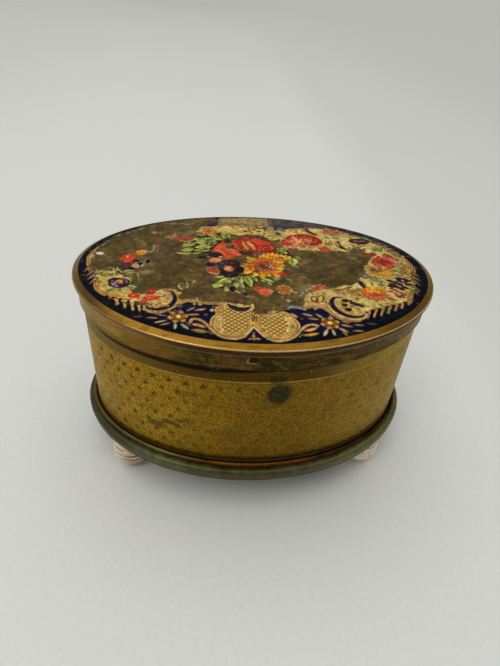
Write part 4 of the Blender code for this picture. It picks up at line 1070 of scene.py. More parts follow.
    disc(-16.2, 6.6, 0.42, np.array([222, 160, 140.0]), 0, 0.25)
    shape([(-11.0, 0.1), (-9.8, 1.2), (-8.3, 0.5), (-8.0, -1.2), (-9.4, -2.0), (-10.9, -1.2)], np.array([214, 130, 84.0]), 0.0, np.array([110, 44, 34.0]), 0.2)
    for x, y, r, colour in ((-9.6, 0.2, 0.4, np.array([240, 190, 120.0])), (-8.8, -1.0, 0.36, np.array([150, 60, 40.0])), (-10.2, -0.8, 0.34, np.array([244, 190, 150.0])), (-7.6, 0.0, 0.7, np.array([150, 36, 52.0])),
                            (-11.6, 2.6, 0.4, np.array([112, 96, 104.0])), (-8.2, 3.2, 0.4, np.array([112, 76, 76.0])), (-9.8, 3.4, 0.3, np.array([86, 74, 86.0])), (-12.6, -2.2, 0.45, np.array([82, 76, 92.0])), (-9.4, -4.4, 0.4, np.array([78, 60, 84.0])),
                            (-10.6, 1.4, 0.3, np.array([190, 110, 100.0])), (-13.6, 4.8, 0.4, np.array([236, 170, 110.0]))):
        disc(x, y, r, colour, 0, 0.2)
    shape([(-16.4, -0.6), (-14.6, 0.4), (-13.0, -0.8), (-12.6, -3.0), (-14.2, -3.6), (-16.2, -2.8)], np.array([158, 64, 40.0]), 0.0, np.array([206, 130, 108.0]), 0.22, 0.14, 0.3)
    strands([(-15.8, -3.0), (-14.2, -3.9), (-12.8, -3.8)], ((0.24, np.array([224, 160, 144.0])),))
    # buds and light strokes under the leaves
    disc(-8.8, -12.5, 0.95, np.array([26, 20, 34.0]), 0, 0.2, 1.3, BLACK)
    line([(-9.8, -13.4), (-10.8, -12.2)], [0.24, 0.12], PALE * 0.9)
    line([(-7.8, -13.6), (-6.4, -14.9)], [0.24, 0.16], np.array([190, 184, 152.0]))
    line([(-8.0, -10.4), (-7.2, -9.0)], [0.28, 0.14], np.array([206, 198, 160.0]))
    line([(-7.0, -10.2), (-6.6, -8.6)], [0.24, 0.12], np.array([180, 176, 120.0]))
    disc(-4.9, -15.2, 0.8, np.array([34, 18, 24.0]), 0, 0.2, 0.6)
    line([(-5.4, -13.4), (-4.8, -14.4)], [0.22, 0.16], np.array([176, 160, 132.0]))
    line([(-4.6, -16.6), (-3.8, -16.2)], 0.2, np.array([168, 156, 120.0]))
    # scattered little flowers on the metal
    blossom(-0.8, -12.2, 1.3, 5, RED, RED * 1.08, CRIMSON, 0.0, 0, 1.1)
    blossom(1.5, -13.8, 2.2, 6, SALMON, np.array([226, 132, 92.0]), RED, 0.04, 40, 1.0, CRIMSON * 0.8, 0.3)
    petal(0.8, -14.2, 290, 2.4, 1.5, RED, SALMON, 0.0, 0.5, 1.2)
    petal(2.0, -13.6, 10, 2.2, 1.4, SALMON, BLUSH, 0.0, 0.5, 1.2)
    blossom(7.7, -12.4, 2.9, 9, np.array([132, 74, 20.0]), np.array([222, 164, 100.0]), OCHRE, 0.06, 12, 0.95, np.array([96, 60, 20.0]), 0.34)
    for k in range(7):
        a = math.radians(51 * k + 10)
        disc(7.7 + 1.15 * math.cos(a), -12.4 + 1.0 * math.sin(a), 0.34, ORANGE * (1.1 if k % 2 else 0.8), 0, 0.15)
    for p, q in (((11.2, -12.4), (12.2, -13.6)), ((12.4, -14.0), (13.6, -14.6)), ((12.4, -12.2), (13.6, -13.0)), ((11.6, -15.2), (12.8, -15.9)), ((14.0, -12.0), (14.8, -13.2)), ((10.6, -13.6), (11.2, -14.6)), ((13.8, -15.4), (14.8, -15.8)), ((9.6, -16.4), (10.2, -17.0)),
                 ((14.8, -13.8), (16.0, -14.4)), ((13.0, -17.6), (13.6, -18.8))):
        spindle(p, q, 0.30, np.array([186, 178, 138.0]), np.array([72, 62, 32.0]), 0.0, 0.1)
    disc(8.0, -18.5, 0.5, np.array([206, 196, 172.0]), 0, 0.25, 0.75)
    disc(6.3, -16.4, 0.44, np.array([150, 134, 98.0]), 0, 0.25)
    for x, y, a, l in ((17.2, -12.4, 110, 2.8), (18.3, -12.6, 84, 3.6), (19.4, -12.4, 62, 3.0), (20.6, -12.2, 118, 2.8), (19.0, -12.8, 150, 3.0), (21.4, -12.0, 140, 2.2)):
        petal(x, y, a, l, 1.3, RED * 0.78, RED * 0.98, 0.08, 0.6, 1.1, np.array([206, 150, 120.0]))
    line([(17.0, -10.6), (17.6, -9.8)], [0.3, 0.2], np.array([214, 176, 140.0]))
    line([(19.2, -9.8), (19.6, -9.0)], [0.26, 0.2], np.array([204, 130, 110.0]))
    # the left group
    shape([(-45.0, 3.4), (-43.8, 5.4), (-41.6, 5.8), (-40.0, 4.6), (-40.4, 2.4), (-42.0, 0.8), (-43.4, 2.0)], RED * 0.98, 0.04, CRIMSON * 0.8, 0.2, 0.14, 0.5)
    for x, y, a, l in ((-44.4, 4.0, 60, 2.4), (-42.6, 4.0, 84, 2.2), (-41.4, 3.6, 40, 2.0), (-42.6, 2.4, 250, 1.8), (-43.4, 3.2, 200, 1.6)):
        petal(x, y, a, l, 1.3, RED * 1.04, SALMON, 0.02, 0.7, 1.2, CRIMSON)
    disc(-42.7, 4.3, 0.36, np.array([246, 178, 150.0]), 0, 0.2)
    strands([(-41.6, 6.0), (-40.6, 6.8), (-39.4, 7.2)], ((0.32, SALMON * 0.9),))
    shape([(-40.2, 7.0), (-39.6, 9.2), (-37.6, 9.8), (-36.8, 8.4), (-37.4, 6.4), (-39.0, 5.8)], np.array([190, 128, 52.0]), 0.08, np.array([110, 62, 22.0]), 0.2, 0.14, 0.5)
    for x, y, a in ((-38.6, 7.6, 60), (-38.8, 7.4, 140), (-38.2, 7.4, 10), (-38.6, 7.2, 250)):
        petal(x, y, a, 2.0, 1.2, ORANGE * 0.9, np.array([214, 164, 84.0]), 0.02, 0.6, 1.2)
    line([(-37.4, 8.4), (-36.2, 9.0)], [0.24, 0.14], np.array([206, 190, 160.0]))
    shape([(-40.8, 1.6), (-40.0, 2.8), (-38.8, 2.6), (-38.6, 1.0), (-39.8, 0.4)], BLACK, 0.0, None, 0.18, 0.14, 0.3)
    shape([(-39.0, 0.4), (-38.2, 1.4), (-37.0, 0.8), (-37.2, -0.6), (-38.6, -0.8)], BLACK * 1.2, 0.0, np.array([150, 152, 150.0]), 0.2, 0.14, 0.3)
    shape([(-36.6, 1.0), (-36.4, 3.0), (-35.4, 3.6), (-35.0, 2.0), (-35.8, 0.6)], BLACK * 1.2, 0.0, np.array([168, 162, 146.0]), 0.24, 0.14, 0.2)
    line([(-37.4, -1.0), (-37.0, 0.6)], [0.30, 0.20], np.array([196, 192, 180.0]))
    disc(-39.5, 1.0, 0.5, np.array([146, 164, 166.0]), 0, 0.2)
    shape([(-40.6, -0.4), (-39.8, 0.4), (-38.6, 0.0), (-38.2, -1.6), (-39.4, -2.6), (-40.6, -1.8)], np.array([218, 152, 104.0]), 0.0, np.array([120, 60, 40.0]), 0.18, 0.14, 0.3)
    shape([(-43.6, -0.8), (-42.6, 0.4), (-41.2, 0.0), (-41.0, -1.6), (-42.4, -2.8)], np.array([86, 50, 70.0]), 0.0, BLACK, 0.22, 0.14, 0.3)
    shape([(-41.4, -2.2), (-39.8, -1.8), (-39.6, -3.2), (-41.0, -3.4)], BLACK * 1.3, 0.0, None, 0.18, 0.14, 0.3)
    for p, q in (((-46.0, -3.2), (-45.7, -5.6)), ((-44.9, -2.6), (-45.0, -4.6)), ((-44.4, -3.8), (-43.2, -5.4)), ((-47.2, -4.6), (-46.9, -6.2))):
        strands([p, ((p[0] + q[0]) / 2 + 0.2, (p[1] + q[1]) / 2), q], ((0.22, np.array([206, 196, 132.0])),))
    strands([(-38.4, -5.4), (-37.8, -7.4), (-37.4, -9.4)], ((0.22, np.array([176, 156, 112.0])),))
    strands([(-34.7, 13.6), (-34.6, 11.0), (-35.0, 9.2), (-36.0, 8.0)], ((0.20, np.array([190, 168, 118.0])),), 0.1)
    strands([(-33.6, 13.2), (-33.4, 10.8), (-33.0, 8.4)], ((0.18, np.array([170, 112, 78.0])),), 0.2)
    disc(-33.2, 9.0, 0.34, np.array([150, 60, 36.0]), 0, 0.2)
    # the dark-petalled flower and the berries at the left front
    shape([(-46.4, -10.2), (-45.2, -9.0), (-43.2, -8.8), (-41.4, -9.0), (-40.2, -10.2), (-40.6, -12.6), (-42.2, -13.9), (-44.4, -14.0), (-45.8, -13.0)], np.array([40, 20, 46.0]), 0.0, BLACK, 0.2, 0.14, 0.4)
    for x, y, r, colour in ((-43.2, -10.8, 1.15, np.array([214, 134, 88.0])), (-43.6, -11.4, 0.4, np.array([120, 44, 30.0])), (-42.6, -10.2, 0.42, np.array([232, 176, 110.0])), (-43.6, -13.2, 0.6, np.array([158, 118, 160.0])),
                            (-45.2, -10.6, 0.42, np.array([128, 108, 150.0])), (-44.8, -12.6, 0.38, np.array([206, 186, 170.0])), (-41.2, -10.8, 0.46, np.array([110, 40, 70.0])), (-41.8, -12.6, 0.40, np.array([90, 26, 44.0])),
                            (-44.2, -11.6, 0.34, np.array([216, 190, 160.0])), (-42.4, -11.6, 0.40, np.array([196, 96, 56.0]))):
        disc(x, y, r, colour, 0, 0.2)
    strands([(-45.6, -11.8), (-44.6, -12.0), (-44.0, -12.9)], ((0.13, np.array([190, 166, 176.0])),))
    strands([(-42.4, -9.2), (-41.2, -9.8), (-40.8, -11.4)], ((0.12, np.array([196, 140, 150.0])),))
    for x, y, rx, ry in ((-38.0, -18.0, 1.75, 1.15), (-33.2, -15.6, 1.35, 1.35), (-33.6, -19.0, 1.6, 1.1), (-31.9, -18.4, 1.3, 0.95), (-34.8, -20.2, 1.0, 0.8)):
        disc(x, y, rx, np.array([150, 30, 22.0]), 0, 0.14, ry, np.array([226, 148, 104.0]))
        disc(x - 0.1, y + 0.1, 0.82 * rx, np.array([196, 44, 30.0]), 0, 0.3, 0.80 * ry)
        disc(x - 0.25, y + 0.25, 0.26 * rx, np.array([236, 116, 90.0]), 0, 0.25, 0.26 * ry)
    line(flow([(-38.6, -16.6), (-37.4, -15.4), (-35.2, -16.2), (-34.0, -17.6)], 5), 0.18, np.array([96, 60, 26.0]))
    line(flow([(-38.0, -15.0), (-36.6, -14.4), (-34.8, -15.0)], 5), 0.14, DEEP_GREEN)
    # speckled flower inside the left scroll
    r4 = np.random.default_rng(23)
    for k in range(70):
        x, y = r4.uniform(-31.6, -27.6), r4.uniform(-22.6, -15.2)
        disc(x, y, r4.uniform(0.16, 0.34), (np.array([176, 90, 62.0]), OCHRE, np.array([226, 170, 130.0]), PALE, DARK_OCHRE)[k % 5], 0, 0.12)
    disc(-29.1, -17.6, 0.6, np.array([206, 120, 96.0]), 0, 0.2)
    # stray ring and marks on the metal
    strands([(-24.0, -10.0), (-25.1, -10.8), (-25.0, -12.6), (-24.0, -13.4)], ((0.26, np.array([166, 168, 110.0])),))
    strands([(-22.9, -10.0), (-22.4, -11.2), (-22.8, -12.6)], ((0.26, np.array([176, 176, 130.0])),))
    disc(-23.7, -11.7, 0.75, np.array([110, 112, 42.0]), 0, 0.3, 1.2)
    line([(-22.2, -9.0), (-21.6, -9.6)], 0.3, np.array([70, 40, 22.0]))
    spindle((-20.9, -9.6), (-20.3, -8.2), 0.30, np.array([186, 168, 124.0]), None)
    line([(-21.2, -11.6), (-20.6, -11.0)], 0.16, np.array([120, 96, 60.0]))
    disc(-19.6, -18.6, 0.5, np.array([156, 138, 96.0]), 0, 0.25, 0.9)
    for x, y in ((-21.2, -18.9), (-18.4, -18.6), (-16.2, -18.9), (-13.8, -19.4), (5.6, -21.4), (3.0, -22.0), (-13.2, -16.6), (-6.2, -19.2)):
        disc(x, y, 0.34, np.array([132, 114, 66.0]), 0, 0.25)
    # back: flat red flower, orange flower, blue-grey bits
    shape([(-28.4, 18.6), (-26.6, 20.6), (-24.0, 20.4), (-21.8, 20.6), (-21.6, 18.8), (-24.0, 18.2), (-26.4, 17.8)], np.array([186, 64, 48.0]), 0.06, np.array([110, 44, 28.0]), 0.18, 0.14, 0.3)
    strands([(-26.0, 17.8), (-24.0, 17.2), (-22.0, 18.0), (-20.6, 19.6)], ((0.34, np.array([206, 140, 104.0])),))
    strands([(-20.8, 19.8), (-19.8, 18.0), (-20.6, 16.2)], ((0.28, np.array([176, 160, 100.0])),))
    shape([(-19.2, 25.6), (-17.4, 27.6), (-15.2, 28.4), (-13.2, 27.4), (-13.6, 25.0), (-15.4, 23.8), (-17.6, 24.4)], np.array([196, 112, 44.0]), 0.04, np.array([120, 72, 24.0]), 0.18, 0.14, 0.5)
    for k in range(7):
        petal(-16.0, 25.8, 50 * k + 10, 2.8, 1.5, ORANGE * 0.85, np.array([216, 144, 72.0]), 0.03, 0.7, 1.3, np.array([130, 66, 22.0]))
    line([(-20.2, 25.2), (-18.4, 25.6)], [0.4, 0.3], PALE)
    disc(-15.6, 22.8, 0.5, BLUSH)
    disc(-18.0, 23.4, 0.5, BLUSH * 0.9)
    shape([(-37.4, 22.4), (-36.2, 24.2), (-34.4, 23.6), (-34.8, 21.8), (-36.4, 21.4)], np.array([142, 78, 50.0]), 0.3, None, 0.18, 0.2, 0.6)
    disc(-35.4, 22.4, 0.6, np.array([190, 140, 116.0]), 0.2, 0.3)
    for x, y, rx, ry in ((-2.3, 26.9, 0.8, 0.7), (-0.6, 27.2, 0.6, 0.5), (1.2, 28.4, 0.7, 0.6), (2.8, 27.0, 0.8, 0.6), (3.4, 29.6, 0.7, 0.5), (5.2, 27.8, 0.6, 0.6), (0.2, 26.0, 0.5, 0.5), (2.0, 30.2, 0.7, 0.4), (4.8, 25.6, 0.5, 0.5), (6.4, 29.8, 0.6, 0.5), (-0.8, 28.6, 0.5, 0.4)):
        disc(x, y, rx, np.array([72, 44, 24.0]), 0, 0.2, ry)
    for x, y, a, l, colour in ((6.4, 26.6, 70, 3.0, np.array([44, 52, 66.0])), (7.8, 27.2, 120, 3.0, np.array([112, 122, 134.0])), (8.8, 28.0, 60, 3.0, np.array([40, 40, 54.0])), (9.6, 29.4, 20, 2.6, np.array([88, 84, 100.0])), (9.0, 26.0, 340, 2.4, np.array([70, 50, 30.0])),
                               (11.0, 28.0, 40, 2.4, np.array([96, 90, 104.0])), (5.4, 28.6, 100, 2.2, np.array([60, 58, 62.0]))):
        petal(x, y, a, l, 1.5, colour, colour * 1.3, 0.05, 0.6, 1.2, UMBER)
    # back right: pale pink pair, dark flower and scraps
    for cx, cy, s in ((28.8, 28.2, 1.0), (32.8, 26.8, 0.95), (30.6, 25.6, 0.7)):
        for k in range(6):
            petal(cx, cy, 20 + 60 * k, 2.7 * s, 1.7 * s, np.array([186, 96, 62.0]), np.array([206, 146, 96.0]), 0.04, 0.7, 1.4, np.array([136, 78, 46.0]))
        disc(cx, cy, 0.6 * s, np.array([150, 76, 40.0]), 0, 0.2)
    shape([(35.8, 20.2), (37.0, 21.8), (39.4, 21.8), (42.0, 21.2), (43.4, 19.8), (42.2, 18.2), (39.2, 17.9), (36.8, 18.8)], np.array([54, 26, 34.0]), 0.0, np.array([26, 14, 16.0]), 0.2, 0.14, 0.4)
    strands([(37.6, 20.4), (39.6, 19.8), (41.6, 20.0)], ((0.30, np.array([170, 112, 116.0])),))
    disc(40.6, 20.8, 0.4, np.array([130, 86, 84.0]), 0, 0.2)
    disc(38.0, 19.2, 0.4, np.array([110, 62, 66.0]), 0, 0.2)
    for x, y, r in ((36.4, 13.8, 0.9), (38.4, 13.2, 0.8), (34.8, 14.8, 0.6), (40.0, 13.9, 0.7), (33.6, 10.9, 0.8), (34.6, 11.8, 0.6)):
        disc(x, y, r, np.array([58, 50, 50.0]), 0.05, 0.25, 0.7 * r)
    for x, y in ((33.2, 10.6), (34.2, 11.0), (33.8, 11.8), (37.4, 13.9), (39.3, 13.9)):
        disc(x, y, 0.28, np.array([176, 172, 150.0]), 0, 0.2)
    shape([(37.8, 9.2), (39.8, 10.0), (41.8, 11.6), (43.6, 10.8), (42.4, 8.8), (39.8, 7.6)], np.array([136, 66, 44.0]), 0.25, None, 0.18, 0.25, 0.8)
    # right rose
    shape([(40.0, 4.6), (42.0, 7.0), (44.4, 9.4), (47.2, 10.0), (49.0, 7.4), (49.2, 4.2), (47.4, 1.6), (44.8, 0.4), (42.6, 1.6), (40.8, 2.6)], np.array([160, 44, 40.0]), 0.02, np.array([96, 30, 22.0]), 0.2, 0.14, 0.3)
    for x, y, a, l, w, base, tip in (
        (44.6, 5.8, 60, 4.4, 3.8, np.array([176, 40, 38.0]), np.array([206, 70, 62.0])), (46.4, 5.4, 20, 3.2, 3.4, np.array([190, 60, 52.0]), np.array([216, 118, 96.0])), (44.4, 5.4, 150, 3.6, 3.0, RED * 0.8, RED * 0.92),
        (43.6, 4.6, 190, 3.6, 2.4, RED * 0.86, SALMON), (46.8, 3.4, 330, 2.8, 2.8, np.array([204, 84, 70.0]), np.array([222, 140, 112.0])), (45.2, 3.2, 280, 3.2, 2.6, SALMON, RED * 0.9), (43.4, 3.4, 235, 3.4, 2.0, RED * 0.9, SALMON)):
        petal(x, y, a, l, w, base, tip, 0.03, 0.9, 1.4, np.array([120, 30, 26.0]))
    for pts in ([(42.2, 3.6), (43.4, 2.2), (44.6, 1.4)], [(41.4, 2.8), (42.6, 1.2), (43.8, 0.4)], [(45.2, 6.8), (46.8, 6.6), (47.8, 5.2)], [(43.4, 7.0), (44.8, 8.0), (46.2, 8.2)]):
        strands(pts, ((0.22, np.array([226, 146, 122.0])),))
    # yellow flower below it
    for k in range(10):
        a = 150 + 26 * k
        petal(40.9, -0.2, a, 4.9 if k < 3 else 4.2, 2.4, (ORANGE * 0.85 if k % 2 else np.array([190, 140, 50.0])), (np.array([214, 182, 100.0]) if k < 3 else YELLOW * 0.96), 0.03, 0.8, 1.4, np.array([112, 70, 18.0]))
    shape([(41.6, -2.4), (43.0, -1.0), (45.0, -1.6), (45.2, -3.6), (43.4, -4.4), (41.8, -3.8)], YELLOW * 0.96, 0.0, np.array([128, 84, 20.0]), 0.18, 0.14, 0.3)
    disc(39.4, -0.4, 1.0, np.array([116, 34, 22.0]), 0, 0.25, 0.8)
    disc(41.0, 0.3, 0.7, np.array([198, 150, 140.0]), 0, 0.25, 0.5)
    disc(40.6, -1.4, 0.6, np.array([96, 34, 20.0]), 0, 0.25)
    disc(42.2, 0.6, 0.6, np.array([186, 62, 44.0]), 0, 0.25)
    for x, y in ((34.8, -4.8), (36.4, -3.9), (37.3, -5.0), (35.8, -5.3)):
        disc(x, y, 0.72, np.array([56, 34, 52.0]), 0, 0.2, 0.5, np.array([196, 172, 150.0]))
    for p, q in (((41.0, -5.6), (42.0, -6.6)), ((40.2, -7.4), (41.4, -8.4)), ((39.4, -8.4), (40.2, -11.6)), ((38.6, -9.4), (39.2, -11.0)), ((36.6, -8.2), (36.5, -10.4)), ((45.4, -3.2), (46.6, -4.4)), ((48.0, -2.2), (48.8, -4.0))):
        line([p, q], [0.26, 0.16], DEEP_GREEN * 0.9)
    # dark grape sprays
    for x, y, a in ((43.2, -9.3, -20), (44.6, -8.2, -30), (44.2, -11.0, -50), (45.7, -9.6, -40), (47.3, -8.3, -10), (48.9, -7.5, 0), (46.6, -5.9, -30), (48.2, -6.3, -20), (45.4, -12.2, -60), (46.8, -11.4, -40), (42.4, -10.6, -40), (48.4, -9.6, 10), (46.2, -7.2, -60), (43.0, -7.4, -20)):
        ra = math.radians(a)
        spindle((x - 0.9 * math.cos(ra), y - 0.9 * math.sin(ra)), (x + 0.9 * math.cos(ra), y + 0.9 * math.sin(ra)), 0.56, np.array([44, 18, 36.0]), np.array([20, 10, 14.0]))
    disc(47.3, -7.9, 0.55, np.array([150, 98, 146.0]), 0, 0.2)
    disc(45.4, -9.0, 0.32, np.array([110, 70, 104.0]), 0, 0.2)
    for x, y, a in ((42.3, -12.2, -40), (43.4, -13.2, -70), (44.4, -14.2, -40), (42.6, -15.0, -60), (43.0, -16.6, -50), (44.4, -16.4, -60), (41.4, -13.6, -30), (45.2, -15.4, -30)):
        ra = math.radians(a)
        spindle((x - 0.7 * math.cos(ra), y - 0.7 * math.sin(ra)), (x + 0.7 * math.cos(ra), y + 0.7 * math.sin(ra)), 0.42, np.array([164, 66, 62.0]), np.array([84, 34, 24.0]))
    for x, y in ((43.6, -12.2), (42.0, -14.4), (44.0, -15.4)):
        disc(x, y, 0.34, np.array([222, 160, 128.0]), 0, 0.2)
    # tulip
    for a, l, w in ((202, 4.8, 1.8), (228, 4.6, 1.9), (262, 4.6, 1.9), (296, 4.6, 1.9), (328, 4.8, 1.8), (350, 4.6, 1.5)):
        petal(36.0, -14.6, a, l, w, np.array([226, 128, 84.0]), np.array([204, 80, 56.0]), 0.0, 0.6, 1.05, np.array([150, 52, 32.0]))
        ra = math.radians(a)
        line([(36.0 + 0.9 * math.cos(ra), -14.6 + 0.9 * math.sin(ra)), (36.0 + 3.2 * math.cos(ra), -14.6 + 3.2 * math.sin(ra))], [0.20, 0.10], np.array([232, 176, 130.0]))
    for a, l, w, base, tip in ((136, 5.4, 3.0, RED * 0.9, ORANGE), (112, 5.2, 2.6, ORANGE, YELLOW), (44, 5.4, 2.8, ORANGE * 0.9, YELLOW * 0.95), (68, 5.2, 2.6, ORANGE * 0.95, YELLOW * 1.04), (90, 4.8, 3.0, ORANGE, YELLOW * 1.08)):
        petal(36.1, -15.6, a, l, w, base, tip, 0.0, 0.8, 1.4, np.array([140, 60, 14.0]))
    for dx in (-1.2, -0.4, 0.5, 1.3):
        line([(36.0 + 0.5 * dx, -15.4), (36.0 + dx, -12.2)], [0.15, 0.07], np.array([168, 78, 18.0]))
    disc(36.6, -15.6, 0.7, np.array([196, 60, 26.0]), 0, 0.25, 0.5)
    for x, y in ((35.2, -13.6), (36.4, -13.0), (37.4, -13.8)):
        disc(x, y, 0.42, np.array([244, 206, 110.0]), 0, 0.25)
    # dark berries and a small star flower inside the right-hand scroll
    for x, y, rx, ry in ((25.7, -18.4, 0.95, 0.75), (24.9, -20.7, 0.8, 0.6), (25.5, -23.1, 0.9, 0.75), (27.8, -19.8, 0.9, 0.6), (29.0, -20.6, 1.0, 0.6), (27.2, -18.6, 0.5, 0.5), (30.0, -21.4, 0.6, 0.45)):
        disc(x, y, 1.12 * rx, np.array([22, 10, 22.0]), 0, 0.12, 1.2 * ry, np.array([120, 92, 44.0]))
        disc(x - 0.3, y + 0.2, 0.16, np.array([120, 96, 120.0]))
    for pts in ([(26.2, -22.4), (27.2, -21.4), (28.6, -20.8)], [(26.4, -21.0), (27.6, -22.2), (29.0, -22.8)], [(30.6, -20.0), (31.2, -21.2), (32.2, -21.8)]):
        strands(pts, ((0.18, np.array([62, 60, 26.0])),))
    # pale flowers with ochre outlines
    for x, y, r in ((24.6, -12.6, 2.0), (28.9, -13.8, 1.6), (40.6, -18.0, 1.3), (27.6, 17.8, 1.6), (50.2, 0.4, 1.7)):
        blossom(x, y, r, 6, OCHRE * 0.9, PALE, OCHRE, 0.03, 0, 0.9, DARK_OCHRE, 0.3)
    # a bright chip at the left
    disc(-51.5, 5.8, 1.15, np.array([226, 216, 184.0]), 0, 0.3, 0.95)
    disc(-52.2, 5.6, 0.5, np.array([240, 236, 214.0]), 0, 0.3)

    # ageing: dark and light specks, a faint brown haze and hairline scratches
    lit = np.clip(sheet.max(axis=-1, keepdims=True) / 110.0, 0.12, 1.0)
    speck = (step(0.66, 0.76, fbm(GX, GY, 0.7, 3, 400)) * (1 - 0.55 * calm))[..., None] * 0.40 * lit
    sheet[:] = sheet * (1 - speck) + np.array([78, 58, 30.0]) * speck
    haze = (0.14 * step(0.4, 0.8, fbm(GX, GY, 10, 3, 420)))[..., None] * lit
    sheet[:] = sheet * (1 - haze) + np.array([96, 76, 44.0]) * haze
    sheet[:] = sheet * (1 + 0.42 * (fbm(GX, GY, 0.8, 2, 430) - 0.5) + 0.20 * (fbm(GX, GY, 2.4, 2, 440) - 0.5))[..., None]
    # the right part of the sheet made a little darker
    sheet[:] = sheet * (1 - 0.07 * step(14.0, 24.0, GX))[..., None]
    r2 = np.random.default_rng(11)
    for k in range(90):
        x, y = r2.uniform(-50, 50), r2.uniform(-34, 34)
        a, l = r2.uniform(0, math.pi), r2.uniform(1.5, 7)
        tone2 = np.array([146, 124, 86.0]) if k % 3 else np.array([46, 36, 22.0])
        p = flow([(x, y), (x + 0.5 * l * math.cos(a), y + 0.5 * l * math.sin(a) + 0.2), (x + l * math.cos(a), y + l * math.sin(a))], 4)
        sl = window(p[:, 0].min(), p[:, 0].max(), p[:, 1].min(), p[:, 1].max())
        m = (0.5 * soft(sd_stroke(GX[sl], GY[sl], p, 0.03), 0.08))[..., None]
        sheet[sl] = sheet[sl] * (1 - m) + tone2 * m


draw_print()


# ================================================================ looks
def print_look():
    look = Look("printed_tin_lid", IOR=1.5, Specular_IOR_Level=0.03)
    x, y, z = look.split(look.place)
    ink = look.attribute("ink")
    net_on = look.attribute("net", "Fac")
    bare = look.attribute("worn", "Fac")
    # the net in the cartouches: two sets of slanting ochre lines
    pitch = 0.00136
    wob = look.math("MULTIPLY", look.math("SUBTRACT", look.noise(900, 2), 0.5), 0.00022)
    u = look.math("ADD", look.math("MULTIPLY", look.math("ADD", x, look.math("MULTIPLY", y, 1.12)), 0.7071), wob)
    v = look.math("ADD", look.math("MULTIPLY", look.math("SUBTRACT", x, look.math("MULTIPLY", y, 1.12)), 0.7071), wob)

    def ruled(w):
        f = look.math("FRACT", look.math("DIVIDE", w, pitch))
        return look.math("ABSOLUTE", look.math("SUBTRACT", f, 0.5))

    near = look.math("MAXIMUM", ruled(u), ruled(v))
    lines = look.between(near, 0.33, 0.42)
    dots = look.between(look.math("ADD", ruled(u), ruled(v)), 0.10, 0.22, 1.0, 0.0)
    cream = look.mix(lines, srgb(197, 163, 86), srgb(116, 70, 14))
    cream = look.mix(look.math("MULTIPLY", dots, 0.35), cream, srgb(232, 204, 142))
    colour = look.mix(look.between(net_on, 0.35, 0.65), ink, cream)
    # printing grain and grime
    grain = look.noise(2600, 2, 0.6)
    colour = look.mix(0.35, colour, look.ramp(grain, [(0.25, (0.45, 0.45, 0.45)), (0.75, (1.35, 1.35, 1.35))]), "MULTIPLY")
    grime = look.noise(160, 5, 0.65)
    colour = look.mix(look.math("MULTIPLY", look.between(grime, 0.52, 0.74), 0.30), colour, srgb(56, 42, 22))
    tiny = look.math("MULTIPLY", look.between(look.noise(1100, 4, 0.7, warp=0.6), 0.63, 0.69), look.between(look.noise(90, 3), 0.45, 0.62))
    tiny = look.math("MULTIPLY", tiny, look.between(x, 0.014, 0.026, 1.0, 0.45))
    colour = look.mix(look.math("MULTIPLY", tiny, look.math("SUBTRACT", 0.75, look.math("MULTIPLY", bare, 0.75))), colour, srgb(64, 48, 28))
    mottle = look.noise(420, 6, 0.7)
    colour = look.mix(look.math("MULTIPLY", bare, 0.8), colour, look.ramp(mottle, [(0.28, (0.55, 0.55, 0.52)), (0.52, (1.0, 0.98, 0.95)), (0.74, (1.75, 1.62, 1.40))]), "MULTIPLY")
    rough = look.between(look.math("ADD", look.math("MULTIPLY", bare, 0.55), look.math("MULTIPLY", mottle, 0.5)), 0.1, 1.0, 0.30, 0.52, smooth=False)
    metal = look.math("MULTIPLY", bare, 0.45)
    height = look.math("ADD", look.math("MULTIPLY", look.noise(2200, 4, 0.6), 0.35), look.math("MULTIPLY", look.noise(350, 3, 0.5), 0.8))
    height = look.math("ADD", height, look.math("MULTIPLY", bare, -0.5))
    normal = look.bump(height, 0.00010, 0.55)
    dents = look.cells(95, "SMOOTH_F1", out="Distance")
    normal = look.bump(look.between(dents, 0.0, 0.35, 0.0, 1.0), 0.00025, 0.22, normal)
    return look.finish(colour, rough, metal, normal)


